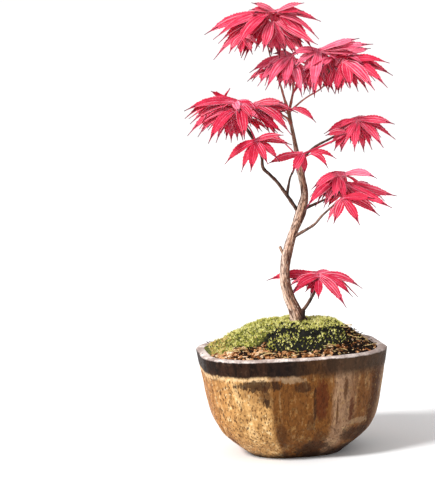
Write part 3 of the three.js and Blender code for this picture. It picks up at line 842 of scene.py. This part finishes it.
def barkFinish(name, pale, mid, dark, streak, shadow, foot):
    bark = Finish(name)
    grain = bark.node("ShaderNodeAttribute", {"attribute_name": "grain"}, out="Vector")
    around, over, _ = bark.parts(grain)
    side = around / (around * around + over * over) ** 0.5
    high = bark.parts(bark.place)[2] / mm
    long = bark.stretched((1, 1, 0.16), grain)
    fibres = bark.noise(1500, 5, long, 0.65)
    strips = bark.noise(560, 4, long, 0.6)
    patches = bark.noise(170, 2, grain)
    cracks = bark.fade(bark.cells(800, "DISTANCE_TO_EDGE", bark.stretched((1, 1, 0.09), grain)), 0.0, 0.1)
    colour = bark.mix(bark.fade(fibres, 0.4, 0.64), paint(mid), paint(pale))
    colour = bark.mix(bark.fade(patches, 0.5, 0.75) * 0.6, colour, paint(streak))
    # painted light and shade: one side is painted pale as if lit, the other dark as shade
    lean = side + (strips - 0.5) * 1.6 + (patches - 0.5) * 0.7
    colour = bark.mix(bark.fade(lean, -0.1, -0.85) * 0.7, colour, paint(streak))
    colour = bark.mix(bark.fade(lean, 0.1, 0.75) * 0.85, colour, paint(shadow))
    colour = bark.mix(bark.fade(strips, 0.52, 0.62) * 0.8, colour, paint(dark))
    colour = bark.mix((1 - cracks) * 0.8, colour, paint(dark))
    flecks = bark.noise(1150, 4, bark.stretched((1, 1, 0.35), grain), 0.7)
    colour = bark.mix(bark.fade(flecks, 0.53, 0.63) * 0.75, colour, paint(dark))
    colour = bark.mix(bark.fade(flecks, 0.45, 0.35) * 0.4, colour, paint(streak))
    # darker towards the crown
    colour = bark.mix(bark.fade(high + (strips - 0.5) * 16, 150, 166) * 0.6, colour, paint(shadow))
    # painted shade at the foot, where the wood meets the moss, on the side away from the light
    low = bark.fade(high + (fibres - 0.5) * 5, foot + 2, foot - 2) * bark.fade(side, -0.35, 0.3)
    colour = bark.mix(low * 0.9, colour, paint("281610"))
    height = fibres * 0.6 + strips * -0.6 + cracks * 0.4 - flecks * 0.6
    return bark.done({"Base Color": colour, "Roughness": 0.78, "Normal": bark.bump(height, 0.4),
                      "Specular IOR Level": 0.2})


def trunkRings():
    # the CAD trunk's level rings, as their centres and mean radii
    levels = {}
    for corner in surfaceOf("trunk")[1]:
        levels.setdefault(round(corner.z, 1), set()).add((round(corner.x, 3), round(corner.y, 3)))
    rings = []
    for height in sorted(levels):
        places = [Vector((x, y, height)) for x, y in levels[height]]
        centre = sum(places, Vector()) / len(places)
        away = sorted((p - centre).length for p in places)
        rings.append((centre, sum(away[-12:]) / len(away[-12:])))
    return rings


rings = trunkRings()
trunkLine = bendThrough([centre for centre, _ in rings], trunkLook["rows"])


def trunkPlace(height):
    return min(trunkLine, key=lambda p: abs(p.z - height))


def trunkReach(share, turn):
    at = alongLine(trunkLine, share)
    row = next((i for i in range(1, len(rings)) if rings[i][0].z >= at.z), len(rings) - 1)
    (low, thin), (high, thick) = rings[row - 1], rings[row]
    radius = thin + (thick - thin) * min(1, (at.z - low.z) / (high.z - low.z))
    height = at.z - rings[0][0].z
    cos, sin = math.cos(turn), math.sin(turn)
    foot = math.exp(-height / 5)
    ringed = Vector((cos * 1.9, sin * 1.9, height * 0.07))
    fibre = noise.noise(ringed * 1.7) + 0.6 * noise.noise(ringed * 4.1)
    groove = max(0, 0.28 - abs(noise.noise(Vector((cos * 1.6, sin * 1.6, height * 0.035)) + up * 7))) / 0.28
    knots = noise.noise(Vector((cos * 0.9, sin * 0.9, height * 0.17)))
    lobes = trunkLook["lobe"] * foot * math.cos(trunkLook["rootLobes"] * turn + 0.6)
    slim = trunkLook["slim"] * min(1, max(0, (at.z - 148) / 14))
    return (radius * (1 + lobes + trunkLook["knot"] * knots - slim) + trunkLook["fibre"] * fibre
            - trunkLook["groove"] * groove * min(1, radius / 2))


boughLines = {}


def boughReach(radii, length, luck):
    # a bough's radius, with a collar at its root and a swelling at each node
    start = luck.uniform(0, 50)
    nodeGap = luck.uniform(6, 8.5)

    def reach(share, turn):
        walked = share * length
        radius = radii[0] + (radii[1] - radii[0]) * share
        node = math.exp(-(((walked + start) % nodeGap - nodeGap / 2) / 0.7) ** 2)
        collar = 0.55 * math.exp(-walked / 1.8)
        ringed = Vector((math.cos(turn) * 0.9, math.sin(turn) * 0.9, walked * 0.2 + start))
        return 0.86 * radius * (1 + 0.16 * node + 0.16 * noise.noise(ringed * 1.6)) + collar

    return reach


def makeWood():
    kit = bmesh.new()
    grain = kit.verts.layers.float_vector.new("grain")
    growTube(kit, trunkLine, trunkReach, trunkLook["sides"], grain)
    stubLine = bendThrough([trunkPlace(boughs["stub"][0]), *map(Vector, boughs["stub"][1]),
                            Vector(boughs["stub"][2])], 0.5)
    growTube(kit, stubLine, boughReach(boughs["stub"][3], 7, random.Random(3)), 16, grain)
    finish = barkFinish("trunkBark", "e2b89c", "b4866c", "42221a", "f4dac8", "683e2e", 71)
    makePiece("trunkBark", kit, finish, ["trunk", "stub"])

    kits = {"bough": bmesh.new(), "crown": bmesh.new()}
    grains = {part: kit.verts.layers.float_vector.new("grain") for part, kit in kits.items()}
    luck = random.Random(11)
    for name, (root, bends, tip, radii) in boughs.items():
        foot = trunkPlace(root) if not isinstance(root, tuple) else alongLine(boughLines[root[0]], root[1])
        line = bendThrough([foot, *map(Vector, bends), Vector(tip)], 0.6)
        boughLines[name] = line
        if name != "stub":
            length = sum((q - p).length for p, q in zip(line, line[1:]))
            part = "crown" if line[0].z > 170 else "bough"
            growTube(kits[part], line, boughReach(radii, length, luck), 14, grains[part])
    crook = bendThrough([Vector((7.4, 0, 73.2)), Vector((7.0, -1.5, 70)), Vector((6.2, -2.6, 64))], 0.6)
    growTube(kits["bough"], crook, boughReach((1.2, 2.1), 9, luck), 18, grains["bough"])
    finish = barkFinish("boughBark", "785444", "46302a", "1a0c08", "a88474", "281410", 74)
    makePiece("boughBark", kits["bough"], finish, [name for name in boughs if name != "stub"])
    finish = barkFinish("crownBark", "e89c8e", "c07468", "54261e", "f4bcae", "9a5446", 74)
    makePiece("crownBark", kits["crown"], finish)


makeWood()


leafLook = {
    "row": 0.75,               # half the length of one tooth
    "tooth": 0.07,             # how far teeth stand out, as a share of the half width
    "fold": 0.3,               # how far a lobe's sides rise from its rib
    "pleat": 0.16,             # half the depth of the pleats
    "thickness": 0.12,
    "size": (18, 23),          # the reach of a leaf's longest lobe
    "underSize": (12, 16),     # the same for the leaves under it
    "width": (0.2, 2.4),       # a lobe's width: a share of its length, and what is added
    "nearWidth": (0.1, 2.7),   # the same for the near leaves
    "spread": 1.04,            # widens the near leaves
    "lean": 1.1,               # how steeply those leaves' near sides hang
    "near": 5,                 # tips less than this behind a mass's middle go to its near leaves
    "catch": 16,               # how many degrees a spray's lobe may turn to meet a tip
    "web": 0.74,               # how far the web between two lobes runs out
    "narrow": 8.6,             # two lobes whose widths add up to less have no web
    "outline": [(0, 0.5), (0.12, 0.6), (0.3, 0.9), (0.46, 1), (0.6, 0.9), (0.73, 0.6), (0.83, 0.28),
                (0.9, 0.1), (1, 0.03)],
    "lobes": [(0, 1), (34, 0.96), (-34, 0.96), (70, 0.82), (-70, 0.82), (110, 0.55), (-110, 0.55)],
}

tints = {
    "Crimson": ("ee4866", "d82e4e"),
    "Rose": ("f46e8a", "e85270"),
    "Deep": ("de3252", "c2223e"),
    "Wine": ("bc2440", "981830"),
}
shadowTint = {"Rose": "Crimson", "Crimson": "Deep", "Deep": "Wine", "Wine": "Wine"}

# where each mass's middle is, the bough that feeds it, the bearings of its upper leaves, how far
# out they sit, and how many smaller ones lie under them
masses = {
    "mass_top": ((-6.6, 2, 221.8), "bough_crown_left", [150, 100, 60], 0.12, 1),
    "mass_upper_middle": ((3.3, -2, 201.1), "bough_crown_middle", [60, 120], 0.15, 1),
    "mass_upper_right": ((29.8, -8, 199.5), "bough_crown_right", [30, 90, 140], 0.2, 1),
    "mass_left": ((-24, -8, 179.9), "bough_left", [150, 100, 40], 0.18, 0),
    "mass_left_inner": ((-4.5, -3, 177.8), "bough_left_inner", [100], 0.12, 0),
    "mass_left_low": ((-13.4, -15, 163.5), "bough_left", [], 0.0, 0),
    "mass_centre": ((11.3, -9, 154.5), "bough_centre", [], 0.0, 0),
    "mass_right": ((37.5, 6, 167.4), "bough_right_high", [75], 0.15, 1),
    "mass_right_mid": ((32.7, 4, 138.9), "bough_right_mid", [120], 0.15, 0),
    "mass_right_low": ((30.6, -14, 131.1), "bough_right_low", [], 0.0, 0),
    "mass_bottom": ((15.9, 7, 89.5), "bough_basal", [50, 120], 0.12, 1),
    "mass_back_high": ((31.8, 19, 200.2), "bough_back_high", [30, 100, 160, 300], 0.2, 1),
    "mass_back_left": ((-23.4, 18, 178), "bough_back_left", [40, 110, 180, 280], 0.2, 3),
    "mass_back_right": ((37.7, 26, 138.8), "bough_back_right", [30, 100, 170, 300], 0.2, 3),
}

# how far a mass's upper leaves sit below it
sunkMasses = {"mass_back_right": 5}

# leaves on each mass's near side: their tint, where the stalk ends from the mass's middle, the turn of
# their first and last lobe (0 to the right, 90 up), how many lobes, how far they reach and how they arch
sprays = {
    "mass_top": [
        ("Crimson", (3, -4, 6), 198, 240, 7, 35, 0.55),
        ("Crimson", (8, -3, 7), -12, 12, 3, 18, 0.5),
        ("Crimson", (7, -2, 7), 158, 182, 3, 14, 0.6),
        ("Crimson", (10, -3, 5), -38, -62, 3, 28, 0.8),
        ("Deep", (8, -3, 2), -40, -90, 6, 24, -0.2),
        ("Crimson", (5, -4, 2), 236, 295, 5, 18, 0.5),
        ("Crimson", (-10, -11, -5), 230, 325, 4, 13, 1),
    ],
    "mass_upper_middle": [
        ("Rose", (4, -1, 5), 198, 295, 9, 22, 0.45),
        ("Crimson", (5, 0, 5), 175, 15, 2, 11, 0.6),
        ("Crimson", (16, -1, 1), 232, 300, 8, 21, 0.5),
        ("Deep", (3, 1, 0), 240, 300, 4, 13, 0.5),
    ],
    "mass_upper_right": [
        ("Rose", (-8, 4, 8), 10, -9, 4, 28, 0.25),
        ("Rose", (-8, 3, 8), 188, 325, 7, 16, 0.8),
        ("Crimson", (5, 0, 2), -8, -112, 9, 26, 0.7),
        ("Deep", (0, 1, -1), -40, -110, 4, 15, 0.5),
    ],
    "mass_left": [
        ("Deep", (4, 0, 3), 184, 198, 3, 29, 1.2),
        ("Deep", (-4, 3, 5), 140, 60, 2, 9, 0.5),
        ("Deep", (4, -1, 3), 280, 330, 4, 15, 1),
        ("Crimson", (1, -4, -1), 204, 285, 8, 25, 1.2),
    ],
    "mass_left_inner": [
        ("Deep", (-8, -1, 4), -5, -65, 6, 21, 0.8),
        ("Deep", (-8, -3, 2), -40, -50, 2, 26, -0.2),
        ("Crimson", (12, 0, 1), -32, -60, 1, 18, 0.8),
    ],
    "mass_left_low": [("Deep", (1, 0, 0), 215, 368, 7, 19, 0.6)],
    "mass_centre": [
        ("Crimson", (0, 0, 1), 197, 275, 4, 15, 0.4),
        ("Deep", (4, 0, 1), 310, 340, 2, 14, 1),
    ],
    "mass_right": [
        ("Crimson", (3, -6, 4), -6, -160, 9, 21, 0.5),
        ("Deep", (-3, -7, -2), 190, 250, 4, 13, 0.6),
    ],
    "mass_right_mid": [
        ("Rose", (0, -8, 5), 200, 234, 6, 24, 1),
        ("Rose", (0, -8, 5), -12, -15, 1, 19, 1),
        ("Crimson", (-2, -10, 4), 210, 234, 3, 26, 0.8),
        ("Crimson", (-4, -14, 5), 215, 300, 5, 16, 1),
        ("Crimson", (0, -6, 0), -19, -55, 4, 27, -0.1),
    ],
    "mass_right_low": [("Deep", (0, 0, 1), 225, 355, 5, 17, 0.6)],
    "mass_bottom": [
        ("Deep", (1, -3, 1), 182, 214, 5, 20, 0.8),
        ("Deep", (1, -4, 0), 222, 265, 3, 11, 0.5),
        ("Deep", (1, -3, 1), -17, -52, 3, 24, 1),
    ],
}
# bare stalks that cross the gaps from one mass's stalk end to another's, with their radius
links = [("mass_centre", "mass_right", 0.65), ("mass_left_low", "mass_left", 0.45),
         ("mass_left_inner", "mass_centre", 0.4)]
openLeaves = {"mass_left_low", "mass_centre", "mass_right_low"}  # no web shows between their lobes


def leafFinish(name, light, dark):
    leaf = Finish(name)
    blotches = leaf.noise(260, 3)
    fine = leaf.noise(1900, 3)
    colour = leaf.mix(leaf.fade(blotches, 0.35, 0.68), paint(dark), paint(light))
    # "tone" is 1 on a lobe's ridges and -1 in its valleys, plus random streaks; the ridges get a painted
    # highlight and the valleys painted shade
    tone = leaf.node("ShaderNodeAttribute", {"attribute_name": "tone"}, out=2)
    colour = leaf.mix(leaf.fade(tone, 0.1, 1) * 0.6, colour, paint("ffb2c2"))
    colour = leaf.mix(leaf.fade(tone, -0.05, -0.95) * 0.72, colour, paint("c01438"))
    colour = leaf.mix(leaf.fade(fine, 0.55, 0.8) * 0.3, colour, paint("f4708c"))
    veins = leaf.cells(1300, "DISTANCE_TO_EDGE")
    height = leaf.fade(veins, 0.0, 0.2) + fine * 0.5
    return leaf.done({"Base Color": colour, "Roughness": 0.46, "Normal": leaf.bump(height, 0.12, 0.7),
                      "Specular IOR Level": 0.14, "Subsurface Weight": 0.25,
                      "Subsurface Radius": (1, 0.2, 0.2), "Subsurface Scale": 0.0012})


def outlineAt(share):
    stops = leafLook["outline"]
    i = next((k for k in range(1, len(stops)) if stops[k][0] >= share), len(stops) - 1)
    (a, low), (b, high) = stops[i - 1], stops[i]
    t = min(1, max(0, (share - a) / (b - a)))
    return low + (high - low) * t * t * (3 - 2 * t)


def growLobe(kits, tint, base, tip, over, width, luck, lean, columns=8):
    # one toothed and pleated lobe on a curve from base to tip that bends past over; its near side
    # hangs lower by lean
    kit = kits[tint]
    tone = kit.verts.layers.float["tone"]
    length = (tip - base).length
    rows = max(8, round(length / leafLook["row"]))
    flat = Vector((tip.x - base.x, tip.y - base.y, 0))
    flat = flat.normalized() if flat.length > 0.5 else Vector((1, 0, 0))
    roll, twist = luck.uniform(-0.2, 0.2), luck.uniform(-0.35, 0.35)
    wave, phase, shade = luck.uniform(0.1, 0.4), luck.uniform(0, 6), luck.uniform(-0.45, 0.35)
    places = []
    for row in range(rows + 1):
        t = row / rows
        place = base * (1 - t) ** 2 + over * 2 * t * (1 - t) + tip * t * t
        ahead = ((over - base) * (1 - t) + (tip - over) * t).normalized()
        aside = flat.cross(up)
        aside += up * lean * aside.y
        aside = (aside - ahead * aside.dot(ahead)).normalized()
        aside = Matrix.Rotation(roll + twist * t, 3, ahead) @ aside
        places.append((place, ahead, aside, aside.cross(ahead)))
    made = bmesh.ops.create_grid(kit, x_segments=columns, y_segments=rows, size=0.5)["verts"]
    for vert in made:
        column = round((vert.co.x + 0.5) * columns)
        side = 2 * column / columns - 1
        row = round((vert.co.y + 0.5) * rows)
        place, ahead, aside, above = places[row]
        share = row / rows
        half = width / 2 * outlineAt(share)
        peak = (1 if row % 2 else -1) * min(1, (1 - share) * 6)
        slip = 0.0
        if column in (0, columns):
            peak *= min(1, max(0.1, 0.8 + 1.6 * noise.noise(Vector((row * 0.6, side * 5, phase)))))
            half *= 1 + leafLook["tooth"] * peak
            slip = 0.28 * peak * min(1, half)
        ridge = 1 if (column - columns // 2) % 2 == 0 else -1
        streak = noise.noise(Vector((side * 3.1 + phase, share * length * 0.09, shade * 9)))
        # painted light: ridges lighter, valleys darker, with random streaks and a random tone for each lobe
        vert[tone] = 0.7 * ridge + 0.9 * streak + shade
        lift = leafLook["fold"] * half * abs(side) + leafLook["pleat"] * min(1, half * 0.8) * ridge
        lift += wave * side * math.sin(share * 7 + phase) * half / 3
        vert.co = place + aside * side * half + above * lift + ahead * slip
    bmesh.ops.remove_doubles(kit, verts=made, dist=0.01)
    rib = [place + above * 0.12 for place, _, _, above in places[: int(rows * 0.8) : 2]]
    growTube(kits["Rib"], rib, lambda share, turn: 0.17 * (1 - share) + 0.06, 4)
    point = [place + above * 0.02 for place, _, _, above in places[int(rows * 0.8) :]]
    growTube(kits["Tip"], point, lambda share, turn: 0.36 - 0.2 * share, 5)


def tipsOf(node, middle):
    # the mass's own tips: corners that reach further out, or higher, than all those next to them
    near = {}
    tree, corners = surfaceOf(node)
    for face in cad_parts[node].data.polygons:
        loop = [tuple(round(c, 2) for c in corners[i]) for i in face.vertices]
        for corner in loop:
            near.setdefault(corner, set()).update(other for other in loop if other != corner)
    reach = {c: math.hypot(c[0] - middle.x, c[1] - middle.y) for c in near}
    tips = []
    for corner, others in near.items():
        outermost = all(reach[corner] > reach[other] for other in others)
        highest = all(corner[2] > other[2] + 1 for other in others)
        if (outermost or highest) and reach[corner] > 7:
            tips.append(Vector(corner))
    return tips


def angleTo(a, b):
    # from above: 0 to the right, 90 to the back
    return math.degrees(math.atan2(b.y - a.y, b.x - a.x)) % 360


def gapBetween(a, b):
    return abs((a - b + 180) % 360 - 180)


def growLeaf(kits, tint, base, heading, size, tips, dome, luck, spare=1.0):
    # lobes go to the tips given, and fill the gaps between them by the leaf's own pattern
    goals = [(angleTo(base, tip), tip) for tip in tips]
    for angle, share in leafLook["lobes"]:
        way = (heading + angle + luck.uniform(-7, 7)) % 360
        if any(gapBetween(way, taken) < 20 for taken, _ in goals):
            continue
        reach = size * share * luck.uniform(0.88, 1.08) * spare
        out = Vector((math.cos(math.radians(way)), math.sin(math.radians(way)), 0))
        goal = base + out * reach * 0.9
        height, _ = topAt(dome, goal.x, goal.y)
        drop = reach * luck.uniform(0.28, 0.6)
        goal.z = base.z - drop
        if height is not None:
            goal.z = max(height - luck.uniform(0.5, 2.5), base.z - drop * 1.3)
        goals.append((way, goal))
    for _, goal in goals:
        length = (goal - base).length
        middle = base.lerp(goal, 0.5)
        lift = 0.06 * length + 0.32 * max(0, base.z - goal.z)
        side = Vector((goal.y - base.y, base.x - goal.x, 0)) * luck.uniform(-0.12, 0.12)
        share, added = leafLook["width"]
        width = (share * length + added) * luck.uniform(0.92, 1.12)
        growLobe(kits, tint, base, goal, middle + up * lift + side, width, luck, 0.4, 6)


def growTwig(kit, start, end, radii, luck, sag=0.0):
    middle = start.lerp(end, 0.5) + up * sag
    stray = Vector((luck.uniform(-1, 1), luck.uniform(-1, 1), luck.uniform(-0.5, 0.5)))
    middle += stray * 0.06 * (end - start).length
    line = bendThrough([start, middle, end], 1.2)
    growTube(kit, line, lambda share, turn: radii[0] + (radii[1] - radii[0]) * share, 6)


def growMass(kits, name, luck):
    middle, bough, bearings, share, under = masses[name]
    middle = Vector(middle)
    sunk = up * sunkMasses.get(name, 0)
    covered = name in sprays
    dome = surfaceOf(name)[0]
    tips = tipsOf(name, middle)
    root = boughLines[bough][-1]
    bases = []
    for bearing in bearings:
        way = math.radians(bearing)
        out = Vector((math.cos(way), math.sin(way), 0))
        edge = max((tip for tip in tips if gapBetween(angleTo(middle, tip), bearing) < 50),
                   key=lambda tip: (tip - middle).dot(out), default=middle + out * 15)
        base = middle + out * (edge - middle).dot(out) * share * luck.uniform(0.85, 1.15)
        height, _ = topAt(dome, base.x, base.y)
        base.z = (height or middle.z) - luck.uniform(0.2, 1.6) - (1.8 if covered else 0) - sunk.z
        bases.append((base, bearing))
    # each tip goes to the leaf that lies best for it
    deal = {i: [] for i in range(len(bases))}
    for tip in tips:
        if covered and tip.y < middle.y + leafLook["near"]:
            continue
        order = sorted(deal, key=lambda i: abs((tip - bases[i][0]).length - 22)
                       + 0.12 * gapBetween(angleTo(bases[i][0], tip), bases[i][1]))
        if order:
            deal[order[0]].append(tip - sunk)
    for i, (base, bearing) in enumerate(bases):
        tint = luck.choices(["Crimson", "Rose", "Deep"], [5, 3, 2])[0]
        growLeaf(kits, tint, base, bearing, luck.uniform(*leafLook["size"]), deal[i], dome, luck)
        growStalk(kits, root, base, luck)
    for _ in range(under):
        bearing = luck.uniform(10, 170) if covered else luck.uniform(0, 360)
        way = math.radians(bearing)
        base = middle + Vector((math.cos(way), math.sin(way), 0)) * luck.uniform(3, 9)
        height, _ = topAt(dome, base.x, base.y)
        base.z = (height or middle.z) - luck.uniform(2.5, 6)
        # the leaves underneath get darker tints, as painted shade
        tint = luck.choices(["Crimson", "Deep", "Wine"], [2, 3, 2])[0]
        growLeaf(kits, tint, base, bearing, luck.uniform(*leafLook["underSize"]), [], dome, luck, 0.9)
        growTwig(kits["Stalk"], root, base - up * 0.3, (0.38, 0.28), luck, 0.5)


def growStalk(kits, root, base, luck):
    # a short twig from the bough's end, then the leaf's own red stalk
    fork = root.lerp(base, luck.uniform(0.25, 0.45))
    fork.z = min(fork.z, base.z - 1)
    growTwig(kits["Twig"], root, fork, (0.5, 0.4), luck)
    growTwig(kits["Stalk"], fork, base - up * 0.3, (0.38, 0.3), luck, 0.8)


def turnTo(base, tip):
    # as the viewer sees it: 0 to the right, 90 up
    return math.degrees(math.atan2(tip.z - base.z, tip.x - base.x)) % 360


def lobeGoals(base, first, last, count, reach, tips, low, high, luck):
    # evenly turned lobes inside the mass's own bounds; the lobe nearest each of its tips runs to that tip
    turns = [first + (last - first) * k / max(1, count - 1) for k in range(count)]
    goals = []
    for turn in turns:
        way = math.radians(turn + luck.uniform(-4, 4))
        out = Vector((math.cos(way), -0.25, math.sin(way)))
        length = reach * luck.uniform(0.75, 1)
        room = (high.z - base.z) if out.z > 0 else (base.z - low.z)
        length = min(length, max(6, room) * luck.uniform(0.88, 1.06) / max(0.01, abs(out.z)))
        goals.append(base + out * length)
    for tip in tips:
        nearest = min(range(count), key=lambda k: gapBetween(turns[k], turnTo(base, tip)))
        goals[nearest] = tip
    return goals


def growSprays(kits, name, luck):
    middle = Vector(masses[name][0])
    bough = boughLines[masses[name][1]]
    corners = surfaceOf(name)[1]
    low, high = (Vector(pick(c[axis] for c in corners) for axis in range(3)) for pick in (min, max))
    fans = [(middle + Vector(row[1]), *row[2:5]) for row in sprays[name]]
    met = [[] for _ in fans]
    for tip in tipsOf(name, middle):
        if tip.y < middle.y + leafLook["near"]:
            misses = [min(gapBetween(first + (last - first) * k / max(1, count - 1), turnTo(base, tip))
                          for k in range(count)) for base, first, last, count in fans]
            if min(misses) < leafLook["catch"]:
                met[misses.index(min(misses))].append(tip)
    share, added = leafLook["nearWidth"]
    for (tint, _, first, last, count, reach, arch), (base, *_), tips in zip(sprays[name], fans, met):
        lobes = []
        for goal in lobeGoals(base, first, last, count, reach, tips, low, high, luck):
            length = (goal - base).length
            across, fall = abs(goal.x - base.x), max(0, base.z - goal.z)
            lift = arch * (0.17 * across + 0.28 * min(across, fall)) * luck.uniform(0.8, 1.1)
            lobes.append((goal, lift, (share * length + added) * luck.uniform(0.88, 1.12)))
        for tip, lift, width in lobes:
            side = Vector((tip.y - base.y, base.x - tip.x, 0)) * luck.uniform(-0.05, 0.05)
            over = base.lerp(tip, 0.5) + up * lift + side
            growLobe(kits, tint, base, tip, over, width * leafLook["spread"], luck, leafLook["lean"])
        for (tip, lift, width), (other, rise, breadth) in zip(lobes, lobes[1:]):
            # the web between two lobes, as a short lobe behind them
            narrow = width + breadth < leafLook["narrow"]
            if name in openLeaves or narrow or (tip - base).angle(other - base) > 1.2:
                continue
            end = base + (tip.lerp(other, 0.5) - base) * leafLook["web"] + Vector((0, 1.2, 0))
            over = base.lerp(end, 0.5) + up * (lift + rise) * 0.3 + Vector((0, 1, 0))
            shade = shadowTint[tint] if luck.random() < 0.6 else tint
            growLobe(kits, shade, base + Vector((0, 0.6, 0)), end, over, (width + breadth) * 0.62, luck,
                     leafLook["lean"])
        growStalk(kits, alongLine(bough, luck.uniform(0.7, 1)), base, luck)


def growLinks(kit, luck):
    # from the first spray of one mass towards the first spray of another
    for start, end, radius in links:
        ends = [Vector(masses[name][0]) + Vector(sprays[name][0][1]) for name in (start, end)]
        growTwig(kit, ends[0], ends[1].lerp(ends[0], 0.2) - up * 4, (radius, radius * 0.8), luck, -0.5)


def makeLeaves():
    kits = {key: bmesh.new() for key in [*tints, "Rib", "Tip", "Twig", "Stalk"]}
    for key in tints:
        kits[key].verts.layers.float.new("tone")
    growLinks(kits["Stalk"], random.Random(5))
    for number, name in enumerate(masses):
        if name in sprays:
            growSprays(kits, name, random.Random(number + 50))
        growMass(kits, name, random.Random(number))
    for key, (light, dark) in tints.items():
        kit = kits[key]
        bmesh.ops.solidify(kit, geom=kit.faces[:], thickness=leafLook["thickness"])
        makePiece("leaves" + key, kit, leafFinish("leaf" + key, light, dark),
                  list(masses) if key == "Crimson" else ())
    makePiece("leafRibs", kits["Rib"], leafFinish("leafRib", "ff8aa4", "f06080"))
    makePiece("leafTips", kits["Tip"], leafFinish("leafTip", "6a2638", "3c1420"))
    makePiece("leafStalks", kits["Stalk"], leafFinish("leafStalk", "d8405c", "a02840"))
    finish = Finish("twigBark")
    tone = finish.mix(finish.fade(finish.noise(700, 4), 0.35, 0.7), paint("4a2420"), paint("8a5a48"))
    height = finish.noise(2200, 3)
    finish = finish.done({"Base Color": tone, "Roughness": 0.6, "Normal": finish.bump(height, 0.1)})
    makePiece("twigs", kits["Twig"], finish)


makeLeaves()
